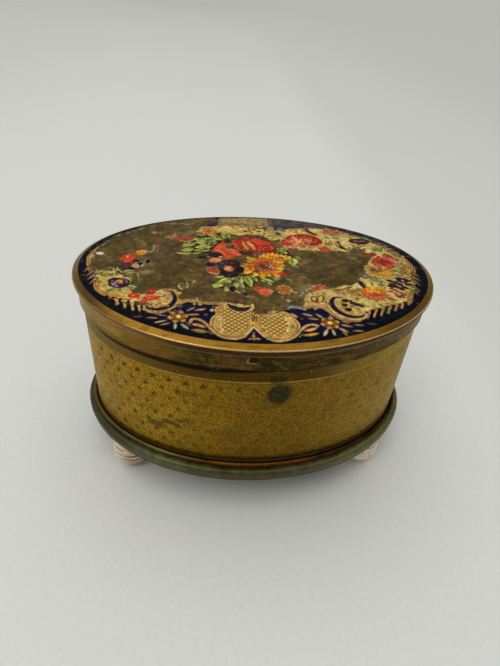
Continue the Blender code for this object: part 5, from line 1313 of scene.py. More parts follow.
def gilt_look():
    look = Look("worn_gilt_rim", IOR=1.5, Specular_IOR_Level=0.2)
    look.shader.inputs["Specular Tint"].default_value = (1.0, 0.94, 0.80, 1.0)
    x, y, z = look.split(look.place)
    ox = look.math("DIVIDE", x, 0.059)
    bow = look.math("MULTIPLY", look.math("SUBTRACT", look.math("MULTIPLY", ox, ox), 0.5), 1.54)
    depth = look.math("SUBTRACT", look.math("ADD", bow, 73.1), look.math("MULTIPLY", z, 1000.0))
    big = look.noise(38, 4, 0.6)
    mid = look.noise(220, 5, 0.65, warp=0.4)
    fine = look.noise(1800, 3, 0.6)
    # the sloping top of the rim
    slope = look.ramp(big, [(0.30, (0.190, 0.090, 0.009)), (0.50, (0.235, 0.114, 0.012)), (0.72, (0.300, 0.156, 0.022))])
    slope = look.mix(look.between(mid, 0.50, 0.72, 0.0, 0.60), slope, (0.105, 0.048, 0.006))
    # the slope's tone changed at the far left and the right, and dark at the back: painted light and shade by side
    slope = look.mix(look.between(x, -0.034, -0.056, 0.0, 0.75), slope, (0.120, 0.074, 0.028))
    slope = look.mix(look.between(x, 0.030, 0.056, 0.0, 0.45), slope, (0.18, 0.105, 0.034))
    slope = look.mix(look.between(y, 0.004, 0.022, 0.0, 0.80), slope, (0.040, 0.036, 0.028))
    # the skirt: bright gilt at the left and darker round the front and right, which is painted light and shade by side,
    # with real tarnish in the noise patches
    patch = look.noise(1.0, 5, 0.65, at=look.vec("MULTIPLY", look.place, (150.0, 150.0, 330.0)), warp=0.5)
    skirt = look.ramp(patch, [(0.34, (0.150, 0.086, 0.010)), (0.50, (0.262, 0.146, 0.014)), (0.66, (0.350, 0.215, 0.040))])
    tarnish_and_side_shade = look.math("ADD", look.between(x, -0.047, -0.014), look.math("MULTIPLY", look.math("SUBTRACT", mid, 0.5), 0.8), clamp=True)
    dull_and_shaded = look.ramp(mid, [(0.38, (0.006, 0.003, 0.001)), (0.50, (0.034, 0.018, 0.002)), (0.62, (0.105, 0.068, 0.011))])
    red = look.math("MULTIPLY", look.between(look.noise(150, 3, 0.6), 0.54, 0.64), look.between(depth, 6.0, 3.8))
    dull_and_shaded = look.mix(look.math("MULTIPLY", red, 0.7), dull_and_shaded, (0.120, 0.040, 0.012))
    smear = look.noise(1.0, 4, 0.65, at=look.vec("MULTIPLY", look.place, (70.0, 70.0, 620.0)), warp=0.4)
    dull_and_shaded = look.mix(look.between(smear, 0.50, 0.62, 0.0, 0.65), dull_and_shaded, (0.012, 0.006, 0.001))
    dull_and_shaded = look.mix(look.between(smear, 0.44, 0.34, 0.0, 0.55), dull_and_shaded, (0.140, 0.086, 0.020))
    # lighter olive towards the right: painted reflection
    dull_and_shaded = look.mix(look.between(x, 0.016, 0.050), dull_and_shaded, look.ramp(mid, [(0.34, (0.052, 0.033, 0.006)), (0.50, (0.125, 0.083, 0.018)), (0.64, (0.235, 0.170, 0.050))]))
    skirt = look.mix(look.math("MULTIPLY", tarnish_and_side_shade, 0.97), skirt, dull_and_shaded)
    warm = look.math("MULTIPLY", look.between(look.noise(75, 3), 0.48, 0.62), look.between(x, 0.000, -0.018))
    skirt = look.mix(look.math("MULTIPLY", warm, 0.45), skirt, (0.31, 0.115, 0.028))
    # painted shade where the bead turns under, kept gold at the left where the light falls
    turn = look.math("MULTIPLY", look.between(depth, 1.30, 1.60), look.between(depth, 3.4, 3.9, 1.0, 0.0))
    lit_gold_left = look.between(x, -0.020, -0.046)
    shade = look.mix(lit_gold_left, (0.060, 0.020, 0.003), (0.26, 0.145, 0.035))
    # a faint light line along the bend into the skirt: painted highlight
    bend_highlight = look.math("MULTIPLY", look.between(depth, 3.55, 3.75), look.between(depth, 3.95, 4.2, 1.0, 0.0))
    colour = look.mix(look.between(depth, 1.25, 1.55), slope, skirt)
    colour = look.mix(look.math("MULTIPLY", turn, 0.9), colour, shade)
    colour = look.mix(look.math("MULTIPLY", bend_highlight, 0.35), colour, (0.30, 0.19, 0.08))
    # painted shade near the hem, where the skirt's edge turns in
    hem_shade = look.math("MULTIPLY", look.between(depth, 8.75, 8.95), look.between(depth, 9.35, 9.5, 1.0, 0.0))
    colour = look.mix(look.math("MULTIPLY", hem_shade, 0.4), colour, (0.03, 0.016, 0.004))
    # painted highlight along the crest of the roll, patchy and weaker at the far ends and at the back
    crest = look.math("MULTIPLY", look.between(depth, 0.90, 1.06), look.between(depth, 1.20, 1.34, 1.0, 0.0))
    highlight_reach = look.math("MULTIPLY", look.between(look.noise(130, 4, 0.65), 0.34, 0.52, 0.45, 1.0), look.between(x, 0.060, 0.050, 0.50, 1.0))
    highlight_reach = look.math("MULTIPLY", highlight_reach, look.between(x, -0.052, -0.030, 0.45, 1.0))
    highlight_reach = look.math("MULTIPLY", highlight_reach, look.between(y, 0.002, 0.020, 1.0, 0.2))
    crest_highlight = look.math("MULTIPLY", crest, highlight_reach)
    colour = look.mix(crest_highlight, colour, look.mix(look.between(x, -0.012, 0.016), (0.70, 0.48, 0.19), (0.96, 0.74, 0.40)))
    # a knock in the front of the skirt: painted shade in its hollow and a painted highlight on the hook round it
    kx = look.math("ADD", look.math("MULTIPLY", x, 1000.0), 3.9)
    kz = look.math("SUBTRACT", look.math("MULTIPLY", z, 1000.0), 67.0)
    front_side = look.between(y, -0.036, -0.038)
    hollow = look.math("SQRT", look.math("ADD", look.math("MULTIPLY", kx, kx), look.math("MULTIPLY", look.math("MULTIPLY", kz, kz), 1.8)))
    hollow = look.math("ADD", hollow, look.math("MULTIPLY", look.math("SUBTRACT", look.noise(900, 2), 0.5), 0.9))
    dent_shade = look.math("MULTIPLY", look.between(hollow, 1.9, 1.1), front_side)
    colour = look.mix(look.math("MULTIPLY", dent_shade, 0.85), colour, (0.012, 0.005, 0.001))
    dent_highlight = look.math("MULTIPLY", look.between(look.math("ABSOLUTE", look.math("SUBTRACT", hollow, 1.55)), 0.42, 0.12), look.between(look.math("ADD", kx, look.math("MULTIPLY", kz, 1.1)), -0.2, -0.9))
    dent_highlight = look.math("MULTIPLY", dent_highlight, front_side)
    colour = look.mix(look.math("MULTIPLY", dent_highlight, 0.75), colour, (0.40, 0.235, 0.11))
    # grain, streaks and pits
    colour = look.mix(0.45, colour, look.ramp(fine, [(0.3, (0.5, 0.5, 0.5)), (0.7, (1.4, 1.4, 1.35))]), "MULTIPLY")
    streak = look.noise(1.0, 4, 0.6, at=look.vec("MULTIPLY", look.place, (110.0, 110.0, 1500.0)))
    streak = look.math("MULTIPLY", look.between(streak, 0.55, 0.68), look.math("SUBTRACT", 1.0, crest_highlight))
    colour = look.mix(look.math("MULTIPLY", streak, 0.45), colour, (0.05, 0.026, 0.006))
    fleck = look.math("MULTIPLY", look.between(look.noise(1300, 3, 0.7), 0.62, 0.70), look.between(depth, 1.6, 2.0))
    colour = look.mix(look.math("MULTIPLY", fleck, 0.6), colour, (0.42, 0.26, 0.10))
    pits = look.between(look.cells(900, "F1"), 0.10, 0.20, 1.0, 0.0)
    pits = look.math("MULTIPLY", pits, look.between(look.noise(120, 2), 0.50, 0.60))
    colour = look.mix(look.math("MULTIPLY", pits, 0.7), colour, (0.04, 0.02, 0.005))
    rough = look.between(look.math("ADD", look.math("MULTIPLY", tarnish_and_side_shade, 0.4), look.math("MULTIPLY", mid, 0.5)), 0.1, 0.9, 0.27, 0.46, smooth=False)
    rough = look.math("SUBTRACT", rough, look.math("MULTIPLY", crest_highlight, 0.08))
    metal = look.math("MAXIMUM", look.between(tarnish_and_side_shade, 0.0, 1.0, 0.92, 0.80, smooth=False), crest_highlight)
    height = look.math("ADD", look.math("MULTIPLY", fine, 0.5), look.math("MULTIPLY", mid, 1.0))
    normal = look.bump(height, 0.00008, 0.45)
    return look.finish(colour, rough, metal, normal)


def star_look():
    look = Look("star_printed_wall", IOR=1.5, Specular_IOR_Level=0.12)
    look.shader.inputs["Specular Tint"].default_value = (1.0, 0.92, 0.74, 1.0)
    x, y, z3 = look.split(look.place)
    s, z, _ = look.split(look.uv("wrap"))
    # the print stands a little higher on the right
    z_true = z
    z = look.math("SUBTRACT", z, look.math("MULTIPLY", look.between(s, -55.0, 60.0, 0.0, 1.0, smooth=False), 1.45))
    pitch, rise = 5.26, 3.92
    rowf = look.math("DIVIDE", look.math("SUBTRACT", z, 54.15 - rise / 2 - 9 * rise), rise)
    row = look.math("FLOOR", rowf)
    fz = look.math("MULTIPLY", look.math("SUBTRACT", look.math("FRACT", rowf), 0.5), rise)
    odd = look.math("FRACT", look.math("MULTIPLY", row, 0.5))
    col = look.math("ADD", look.math("ADD", look.math("DIVIDE", look.math("ADD", s, 1.9), pitch), 0.0), odd)
    cell = look.math("FLOOR", col)
    fs = look.math("MULTIPLY", look.math("SUBTRACT", look.math("FRACT", col), 0.5), pitch)
    chance = look.white(look.join(cell, row, 3.0))
    # a five-pointed star: fold the angle into one tenth of a turn
    r = look.math("SQRT", look.math("ADD", look.math("MULTIPLY", fs, fs), look.math("MULTIPLY", fz, fz)))
    ang = look.math("ADD", look.math("ARCTAN2", fs, fz), 31.4159265)
    fold = look.math("SUBTRACT", look.math("FRACT", look.math("DIVIDE", ang, 2 * math.pi / 5)), 0.5)
    fold = look.math("SUBTRACT", math.pi / 5, look.math("MULTIPLY", look.math("ABSOLUTE", fold), 2 * math.pi / 5))
    px = look.math("MULTIPLY", r, look.math("COSINE", fold))
    py = look.math("MULTIPLY", r, look.math("SINE", fold))
    R, q = 1.60, 0.60
    ix, iy = q * math.cos(math.pi / 5), q * math.sin(math.pi / 5)
    length = math.hypot(R - ix, iy)
    nx, ny = iy / length, (R - ix) / length
    edge = look.math("SUBTRACT", look.math("ADD", look.math("MULTIPLY", px, nx), look.math("MULTIPLY", py, ny)), R * nx)
    edge = look.math("ADD", edge, look.math("MULTIPLY", look.math("SUBTRACT", look.noise(1500, 2), 0.5), 0.30))
    star = look.between(edge, -0.10, 0.08, 1.0, 0.0)
    # strong at the left, rubbed away at the middle and right
    left = look.between(s, -50.0, 4.0, 1.0, 0.0)
    rubbed = look.noise(48, 4, 0.6)
    ink = look.math("ADD", look.math("MULTIPLY", left, 0.66), look.between(rubbed, 0.40, 0.60, 0.20, 0.60))
    upper = look.between(z, 49.0, 53.5)
    ink = look.math("ADD", ink, look.math("MULTIPLY", look.math("MULTIPLY", upper, look.between(s, 24.0, -6.0)), 0.62))
    ink = look.math("MULTIPLY", ink, look.between(chance, 0.0, 1.0, 0.55, 1.0, smooth=False))
    inside = look.between(z, 56.2, 56.6, 1.0, 0.0)
    star = look.math("MULTIPLY", look.math("MULTIPLY", star, ink, clamp=True), inside)
    star = look.math("MULTIPLY", star, look.math("MAXIMUM", look.between(s, -68.0, -54.0, 0.12, 1.0), look.between(s, -84.0, -100.0, 0.0, 0.8)))
    big = look.noise(26, 4, 0.6)
    mid = look.noise(170, 5, 0.65)
    fine = look.noise(1500, 3, 0.7)
    finer = look.noise(3400, 2, 0.6)
    ground = look.ramp(big, [(0.30, (0.318, 0.182, 0.011)), (0.50, (0.368, 0.213, 0.014)), (0.70, (0.404, 0.244, 0.024))])
    # darker round the front and lighter again at the right: painted shade and reflection
    dull_and_shaded = look.between(look.math("ADD", s, look.math("MULTIPLY", look.math("SUBTRACT", big, 0.5), 60.0)), -38.0, -6.0)
    ground = look.mix(look.math("MULTIPLY", dull_and_shaded, 0.85), ground, look.mix(look.between(s, 6.0, 52.0), (0.182, 0.100, 0.007), (0.325, 0.196, 0.020)))
    # greyer towards both ends and round the back left: painted reflection of the grey room
    ends = look.math("MAXIMUM", look.between(s, -66.0, -84.0), look.between(s, 50.0, 74.0))
    ground = look.mix(look.math("MULTIPLY", ends, 0.75), ground, (0.225, 0.122, 0.010))
    ground = look.mix(look.math("MULTIPLY", look.between(s, -64.0, -79.0, 0.0, 0.75), look.between(s, -112.0, -86.0)), ground, (0.155, 0.098, 0.036))
    rust = look.math("MULTIPLY", look.between(look.noise(430, 4, 0.7, warp=0.4), 0.57, 0.66), look.math("MULTIPLY", look.between(s, 24.0, 40.0), look.between(z, 44.0, 54.0)))
    ground = look.mix(look.math("MULTIPLY", rust, 0.75), ground, (0.150, 0.058, 0.010))
    # fine screened grain, coarser where the print is rubbed
    ground = look.mix(0.85, ground, look.ramp(fine, [(0.32, (0.36, 0.33, 0.26)), (0.5, (0.98, 0.98, 0.96)), (0.68, (1.95, 1.88, 1.6))]), "MULTIPLY")
    ground = look.mix(0.6, ground, look.ramp(finer, [(0.30, (0.55, 0.53, 0.5)), (0.5, (1.0, 1.0, 1.0)), (0.70, (1.45, 1.42, 1.35))]), "MULTIPLY")
    weave = look.math("MULTIPLY", look.math("SINE", look.math("MULTIPLY", look.math("ADD", s, z), 9.4)), look.math("SINE", look.math("MULTIPLY", look.math("SUBTRACT", s, z), 9.4)))
    ground = look.mix(look.between(weave, 0.0, 0.9, 0.0, 0.25), ground, (0.09, 0.045, 0.006))
    pits = look.math("MULTIPLY", look.between(look.noise(1150, 3, 0.7), 0.60, 0.67), look.between(dull_and_shaded, 0.0, 1.0, 0.45, 0.75))
    ground = look.mix(pits, ground, (0.085, 0.045, 0.008))
    ground = look.mix(look.math("MULTIPLY", star, 0.92), ground, (0.074, 0.034, 0.005))
    # the hatched band below the lid
    hatch = look.math("MULTIPLY", look.math("SINE", look.math("MULTIPLY", look.math("ADD", s, z), 5.6)), look.math("SINE", look.math("MULTIPLY", look.math("SUBTRACT", s, z), 5.6)))
    band = look.mix(look.between(hatch, -0.3, 0.5), (0.105, 0.055, 0.006), (0.225, 0.135, 0.020))
    band = look.mix(look.between(mid, 0.42, 0.68, 0.0, 0.55), band, (0.200, 0.140, 0.045))
    # the band darker at the front middle and brighter at the right: painted shade and light
    middle = look.math("MULTIPLY", look.between(s, -46.0, -14.0), look.between(s, 34.0, 9.0))
    band = look.mix(look.math("MULTIPLY", middle, 0.75), band, look.mix(look.between(hatch, -0.3, 0.5), (0.036, 0.015, 0.001), (0.078, 0.036, 0.002)))
    band = look.mix(look.math("MULTIPLY", look.between(s, 12.0, 52.0, 0.0, 0.85), look.between(s, 146.0, 92.0)), band, look.mix(look.between(hatch, -0.3, 0.5), (0.295, 0.180, 0.014), (0.55, 0.360, 0.050)))
    band = look.mix(0.6, band, look.ramp(fine, [(0.30, (0.55, 0.53, 0.5)), (0.5, (1.0, 1.0, 1.0)), (0.70, (1.5, 1.45, 1.4))]), "MULTIPLY")
    on_band = look.between(z, 57.35, 57.6)
    ground = look.mix(on_band, ground, band)
    rule = look.math("MULTIPLY", look.between(z, 56.85, 57.0), look.between(z, 57.35, 57.5, 1.0, 0.0))
    ground = look.mix(look.math("MULTIPLY", rule, 0.45), ground, (0.46, 0.29, 0.07))
    under = look.math("MULTIPLY", look.between(z, 56.35, 56.5), look.between(z, 56.75, 56.9, 1.0, 0.0))
    ground = look.mix(look.math("MULTIPLY", under, 0.5), ground, (0.09, 0.05, 0.008))
    # painted shadow under the skirt's edge, widest at the left front where the lid stands away
    ox = look.math("DIVIDE", x, 0.059)
    edge_at = look.math("ADD", look.math("MULTIPLY", look.math("MULTIPLY", ox, ox), 1.54), 62.93)
    edge_at = look.math("ADD", edge_at, look.math("MULTIPLY", look.between(x, -0.044, 0.0), 0.42))
    edge_at = look.math("SUBTRACT", edge_at, look.math("MULTIPLY", look.between(x, -0.010, -0.046), 0.30))
    below = look.math("SUBTRACT", edge_at, z_true)
    reach = look.math("ADD", look.math("MULTIPLY", look.math("MULTIPLY", look.math("MULTIPLY", look.between(x, -0.052, -0.0465), look.between(y, 0.006, -0.006)), look.between(x, 0.006, -0.018)), 1.42), 1.06)
    skirt_edge_shadow = look.between(look.math("SUBTRACT", below, reach), -0.30, 0.18, 1.0, 0.0)
    skirt_edge_shadow = look.math("MULTIPLY", skirt_edge_shadow, look.between(x, 0.0, 0.030, 0.95, 0.70))
    ground = look.mix(skirt_edge_shadow, ground, (0.008, 0.003, 0.001))
    # tarnish: a round dark spot, its small square neighbour and a stain
    wob = look.math("MULTIPLY", look.math("SUBTRACT", look.noise(520, 5, 0.7), 0.5), 5.5)

    def spot(s0, z0, a, b, soft_edge, power=2.0):
        ds = look.math("POWER", look.math("ABSOLUTE", look.math("DIVIDE", look.math("SUBTRACT", s, s0), a)), power)
        dz = look.math("POWER", look.math("ABSOLUTE", look.math("DIVIDE", look.math("SUBTRACT", z, z0), b)), power)
        return look.between(look.math("ADD", look.math("ADD", ds, dz), look.math("MULTIPLY", wob, 0.22)), 1.0 - soft_edge, 1.0 + soft_edge, 1.0, 0.0)

    ground = look.mix(look.math("MULTIPLY", spot(4.9, 52.2, 4.7, 5.2, 0.7), 0.42), ground, (0.060, 0.046, 0.010))
    inside = look.ramp(look.noise(620, 4, 0.7), [(0.36, (0.015, 0.015, 0.004)), (0.52, (0.028, 0.027, 0.007)), (0.66, (0.060, 0.050, 0.015))])
    ground = look.mix(look.math("MULTIPLY", spot(4.9, 52.4, 3.5, 4.0, 0.44), 0.95), ground, inside)
    ground = look.mix(look.math("MULTIPLY", look.math("MULTIPLY", spot(4.0, 58.3, 2.6, 1.4, 0.6, 4.0), look.between(look.noise(800, 3, 0.7), 0.38, 0.56, 0.35, 1.0)), 0.80), ground, (0.022, 0.022, 0.006))
    ground = look.mix(look.math("MULTIPLY", spot(-33.4, 33.0, 3.4, 1.5, 0.7), 0.72), ground, (0.050, 0.030, 0.008))
    ground = look.mix(look.math("MULTIPLY", spot(-28.6, 35.4, 2.8, 1.1, 0.7), 0.70), ground, (0.050, 0.030, 0.008))
    ground = look.mix(look.math("MULTIPLY", spot(-25.4, 37.2, 1.7, 0.7, 0.7), 0.70), ground, (0.050, 0.030, 0.008))
    low = look.math("MULTIPLY", look.between(z, 22.5, 24.0, 1.0, 0.0), look.between(mid, 0.40, 0.66, 0.05, 0.9))
    ground = look.mix(look.math("MULTIPLY", low, 0.6), ground, srgb(66, 47, 17))
    blotch = look.between(mid, 0.54, 0.70)
    ground = look.mix(look.math("MULTIPLY", blotch, 0.50), ground, (0.12, 0.072, 0.010))
    stain = look.math("MULTIPLY", look.between(look.noise(310, 4, 0.7, warp=0.5), 0.60, 0.70), look.between(look.noise(30, 2), 0.42, 0.58))
    ground = look.mix(look.math("MULTIPLY", stain, 0.55), ground, (0.055, 0.040, 0.008))
    glint = look.between(look.noise(1250, 2, 0.6), 0.70, 0.76)
    ground = look.mix(look.math("MULTIPLY", glint, 0.55), ground, (0.62, 0.48, 0.20))
    rough = look.between(mid, 0.2, 0.8, 0.34, 0.52, smooth=False)
    height = look.math("ADD", look.math("MULTIPLY", fine, 0.8), look.math("MULTIPLY", star, -0.8))
    height = look.math("ADD", height, look.math("MULTIPLY", look.math("MULTIPLY", hatch, on_band), 0.5))
    normal = look.bump(height, 0.00006, 0.6)
    return look.finish(ground, rough, look.between(star, 0.0, 1.0, 0.86, 0.6, smooth=False), normal)


def patina_look():
    look = Look("green_patina", IOR=1.5, Specular_IOR_Level=0.25)
    x, y, z = look.split(look.place)
    big = look.noise(45, 4, 0.6)
    mid = look.noise(260, 5, 0.7, warp=0.3)
    fine = look.noise(1700, 3, 0.65)
    colour = look.ramp(mid, [(0.30, (0.095, 0.073, 0.016)), (0.52, (0.150, 0.126, 0.036)), (0.74, (0.210, 0.182, 0.066))])
    verd = look.math("MULTIPLY", look.between(big, 0.40, 0.56), look.between(mid, 0.36, 0.58))
    colour = look.mix(look.math("MULTIPLY", verd, 0.70), colour, (0.098, 0.142, 0.060))
    colour = look.mix(look.between(fine, 0.54, 0.70, 0.0, 0.55), colour, (0.29, 0.25, 0.130))
    colour = look.mix(look.between(fine, 0.46, 0.32, 0.0, 0.55), colour, (0.045, 0.036, 0.014))
    colour = look.mix(look.between(look.noise(120, 4), 0.56, 0.70, 0.0, 0.6), colour, (0.065, 0.036, 0.014))
    # painted shade: dark in the recess under the body, and on the lower part of the roll
    colour = look.mix(look.between(z, 0.02040, 0.02075, 0.0, 0.85), colour, (0.022, 0.012, 0.004))
    colour = look.mix(look.between(z, 0.0180, 0.0166, 0.0, 0.82), colour, (0.020, 0.014, 0.003))
    # darker round the front middle: painted shade
    front = look.math("MULTIPLY", look.between(look.math("ABSOLUTE", look.math("ADD", x, 0.002)), 0.040, 0.010), look.between(y, -0.028, -0.040))
    colour = look.mix(look.math("MULTIPLY", front, 0.80), colour, look.ramp(mid, [(0.32, (0.030, 0.024, 0.007)), (0.52, (0.060, 0.050, 0.016)), (0.70, (0.092, 0.080, 0.030))]))
    colour = look.mix(look.between(x, -0.030, -0.048, 0.0, 0.78), colour, (0.032, 0.027, 0.013))
    rough = look.between(mid, 0.25, 0.75, 0.36, 0.58, smooth=False)
    normal = look.bump(look.math("ADD", look.math("MULTIPLY", fine, 0.5), mid), 0.00010, 0.5)
    return look.finish(colour, rough, look.between(verd, 0.0, 1.0, 0.72, 0.40, smooth=False), normal)


def copper_look():
    look = Look("copper_bead", IOR=1.5, Specular_IOR_Level=0.15)
    look.shader.inputs["Specular Tint"].default_value = (1.0, 0.80, 0.55, 1.0)
    x, y, z = look.split(look.place)
    mid = look.noise(300, 5, 0.7)
    # copper colour only at the front, dark round the sides where the bead lies in shade: painted light and shade
    front = look.math("MULTIPLY", look.between(y, -0.036, -0.0400), look.between(look.math("ABSOLUTE", look.math("SUBTRACT", x, 0.002)), 0.026, 0.008))
    colour = look.ramp(mid, [(0.3, (0.080, 0.026, 0.003)), (0.55, (0.155, 0.049, 0.004)), (0.75, (0.25, 0.088, 0.010))])
    dark = look.ramp(mid, [(0.3, (0.016, 0.008, 0.003)), (0.7, (0.052, 0.027, 0.009))])
    dark = look.mix(look.between(x, -0.016, -0.032, 0.0, 0.92), dark, look.ramp(mid, [(0.3, (0.072, 0.056, 0.016)), (0.7, (0.150, 0.120, 0.040))]))
    colour = look.mix(look.between(front, 0.0, 1.0, 0.92, 0.10), colour, dark)
    rough = look.between(mid, 0.2, 0.8, 0.26, 0.44, smooth=False)
    normal = look.bump(look.noise(1500, 3), 0.00006, 0.4)
    return look.finish(colour, rough, look.between(mid, 0.2, 0.8, 0.95, 0.8), normal)


def rose_metal_look():
    look = Look("polished_rose_metal", IOR=1.5)
    mid = look.noise(330, 4, 0.6)
    colour = look.ramp(mid, [(0.30, srgb(206, 174, 150)), (0.55, srgb(228, 200, 176)), (0.78, srgb(242, 220, 200))])
    grime = look.between(look.noise(800, 4, 0.7), 0.56, 0.72)
    colour = look.mix(look.math("MULTIPLY", grime, 0.45), colour, srgb(132, 96, 70))
    _, _, z = look.split(look.place)
    # painted shade in the grooves between the ribs
    turn = look.math("FRACT", look.math("DIVIDE", look.math("SUBTRACT", 0.01462, z), (0.01462 - 0.0009) / 7))
    groove_shade = look.between(look.math("ABSOLUTE", look.math("SUBTRACT", turn, 0.5)), 0.30, 0.46)
    groove_shade = look.math("MULTIPLY", groove_shade, look.between(z, 0.0150, 0.0144))
    fx, _, _ = look.split(look.place)
    # painted light: the right-hand feet made lighter and the left-hand ones dimmer, and the outer side of the left-hand
    # feet lit
    right_feet_light = look.between(fx, -0.010, 0.010)
    colour = look.mix(look.math("SUBTRACT", 0.40, look.math("MULTIPLY", right_feet_light, 0.40)), colour, srgb(176, 150, 126))
    colour = look.mix(look.math("MULTIPLY", groove_shade, look.math("SUBTRACT", 0.90, look.math("MULTIPLY", right_feet_light, 0.50))), colour, srgb(92, 58, 38))
    rough = look.between(mid, 0.2, 0.8, 0.20, 0.36, smooth=False)
    normal = look.bump(look.noise(1200, 3), 0.00005, 0.35)
    colour = look.mix(look.math("MULTIPLY", right_feet_light, 0.55), colour, srgb(252, 236, 214))
    lit = look.math("MULTIPLY", look.between(fx, -0.0430, -0.0485), look.math("SUBTRACT", 1.0, look.math("MULTIPLY", groove_shade, 0.7)))
    colour = look.mix(look.math("MULTIPLY", lit, 0.60), colour, srgb(250, 238, 214))
    metal = look.math("SUBTRACT", look.between(grime, 0.0, 1.0, 1.0, 0.7, smooth=False), look.math("MULTIPLY", look.math("MAXIMUM", right_feet_light, lit), 0.45))
    return look.finish(colour, rough, metal, normal)


def metal_look(name, low, high, rough_low, rough_high, brushed=(300.0, 300.0, 300.0)):
    look = Look(name, IOR=1.5)
    mid = look.noise(1.0, 4, 0.6, at=look.vec("MULTIPLY", look.place, brushed))
    blot = look.noise(180, 4, 0.65)
    colour = look.mix(look.between(mid, 0.3, 0.7), srgb(*low), srgb(*high))
    colour = look.mix(look.between(blot, 0.55, 0.75, 0.0, 0.55), colour, srgb(*[int(c * 0.55) for c in low]))
    rough = look.between(mid, 0.25, 0.75, rough_low, rough_high, smooth=False)
    normal = look.bump(mid, 0.00005, 0.4)
    return look.finish(colour, rough, look.between(blot, 0.4, 0.8, 0.95, 0.75), normal)


def card_look():
    look = Look("grey_card", IOR=1.45)
    fibre = look.noise(1.0, 5, 0.7, at=look.vec("MULTIPLY", look.place, (900.0, 2400.0, 900.0)), warp=0.8)
    colour = look.mix(look.between(fibre, 0.3, 0.7), srgb(120, 108, 90), srgb(158, 146, 126))
    normal = look.bump(fibre, 0.0001, 0.5)
    return look.finish(colour, look.between(fibre, 0.3, 0.7, 0.8, 0.95), None, normal)


def velvet_look():
    look = Look("blue_velvet", IOR=1.4, Sheen_Weight=0.75, Sheen_Roughness=0.35)
    look.shader.inputs["Sheen Tint"].default_value = (*srgb(110, 124, 190), 1.0)
    nap = look.noise(70, 4, 0.6, warp=0.8)
    pile = look.noise(5200, 2, 0.6)
    colour = look.ramp(nap, [(0.30, srgb(20, 24, 62)), (0.52, srgb(28, 34, 84)), (0.72, srgb(42, 50, 112))])
    colour = look.mix(0.45, colour, look.ramp(pile, [(0.3, (0.45, 0.45, 0.45)), (0.7, (1.45, 1.45, 1.45))]), "MULTIPLY")
    dust = look.between(look.noise(900, 3, 0.7), 0.66, 0.74)
    colour = look.mix(look.math("MULTIPLY", dust, 0.25), colour, srgb(120, 120, 140))
    normal = look.bump(look.math("ADD", pile, look.math("MULTIPLY", nap, 2.0)), 0.00022, 0.7)
    return look.finish(colour, look.between(nap, 0.3, 0.7, 0.82, 0.96), None, normal)


PRINT = print_look()
GILT = gilt_look()
STARS = star_look()
PATINA = patina_look()
COPPER = copper_look()
ROSE = rose_metal_look()
STEEL = metal_look("zinc_steel", (128, 128, 124), (176, 176, 172), 0.30, 0.46)
TIN = metal_look("plain_tinplate", (112, 104, 84), (152, 142, 116), 0.32, 0.52)
BRASS = metal_look("hinge_brass", (118, 88, 40), (158, 124, 62), 0.28, 0.46, (220.0, 900.0, 900.0))
CARD = card_look()
VELVET = velvet_look()


# ================================================================ pieces
def edge_wobble(verts):
    """The pressed lid isn't perfectly true: its skirt waves by a few hundredths, and lifts a little at the left front."""
    v = verts.copy()
    t = np.arctan2(v[:, 1] / LID[1], v[:, 0] / LID[0])
    down = step(TOP - 4.0, TOP - 9.0, v[:, 2] - bowed(v[:, 0]))
    wave = 0.07 * np.sin(5 * t + 0.7) + 0.05 * np.sin(11 * t + 2.1) + 0.03 * np.sin(23 * t)
    grow = 1 + (wave * down)[:, None] / 50.0 * np.array([1.0, 1.0])
    v[:, :2] *= grow
    v[:, 2] += (0.42 * step(-44.0, 0.0, v[:, 0]) + 0.42 * step(0.0, -44.0, v[:, 0]) * 0 - 0.30 * step(-10.0, -46.0, v[:, 0])) * down * step(6.0, -6.0, v[:, 1])
    # a small knock at the front of the skirt
    outer = step(0.985, 0.992, np.hypot(v[:, 0] / (LID[0] - SKIRT_IN), v[:, 1] / (LID[1] - SKIRT_IN)))
    z = v[:, 2] - bowed(v[:, 0])
    knock = np.exp(-(((v[:, 0] + 3.9) / 1.2) ** 2 + ((z - 67.7) / 0.8) ** 2)) * (v[:, 1] < 0)
    lip = np.exp(-(((v[:, 0] + 5.5) / 0.6) ** 2 + ((z - 67.3) / 0.9) ** 2)) * (v[:, 1] < 0)
    v[:, 1] += (0.38 * knock - 0.16 * lip) * outer
    return v


def build_bezel():
    roll = flow([(2.16, 0.10), (2.06, 0.01), (1.90, 0.06), (1.40, 0.33), (0.90, 0.61), (0.50, 0.86), (0.26, 1.03), (0.12, 1.24), (0.03, 1.55), (0.0, 1.92),
                 (0.08, 2.36), (0.34, 2.84), (0.72, 3.22), (1.00, 3.50), (1.12, 3.80)], 4)
    low = SKIRT_LOW
    skirt = [(SKIRT_IN, 4.3), (SKIRT_IN, 5.4), (SKIRT_IN, 6.6), (SKIRT_IN, 7.6), (SKIRT_IN - 0.02, low - 0.75), (SKIRT_IN - 0.10, low - 0.42), (SKIRT_IN - 0.10, low - 0.20),
             (SKIRT_IN, low - 0.04), (SKIRT_IN + 0.2, low), (SKIRT_IN + 0.40, low - 0.10)]
    inner = [(SKIRT_IN + 0.45, low - 0.6), (SKIRT_IN + 0.45, 5.0), (SKIRT_IN + 0.45, 1.62), (3.78, 1.60), (3.80, 1.52), (3.80, 1.02), (2.30, 1.0), (2.16, 0.9)]
    path = list(map(tuple, roll)) + skirt + inner
    sec = [(LID[0] - i, LID[1] - i, TOP - d) for i, d in path]
    return loft("lid_rim_and_skirt", sec, 360, GILT, ring=True, bow=True, smooth=50, shift=edge_wobble)


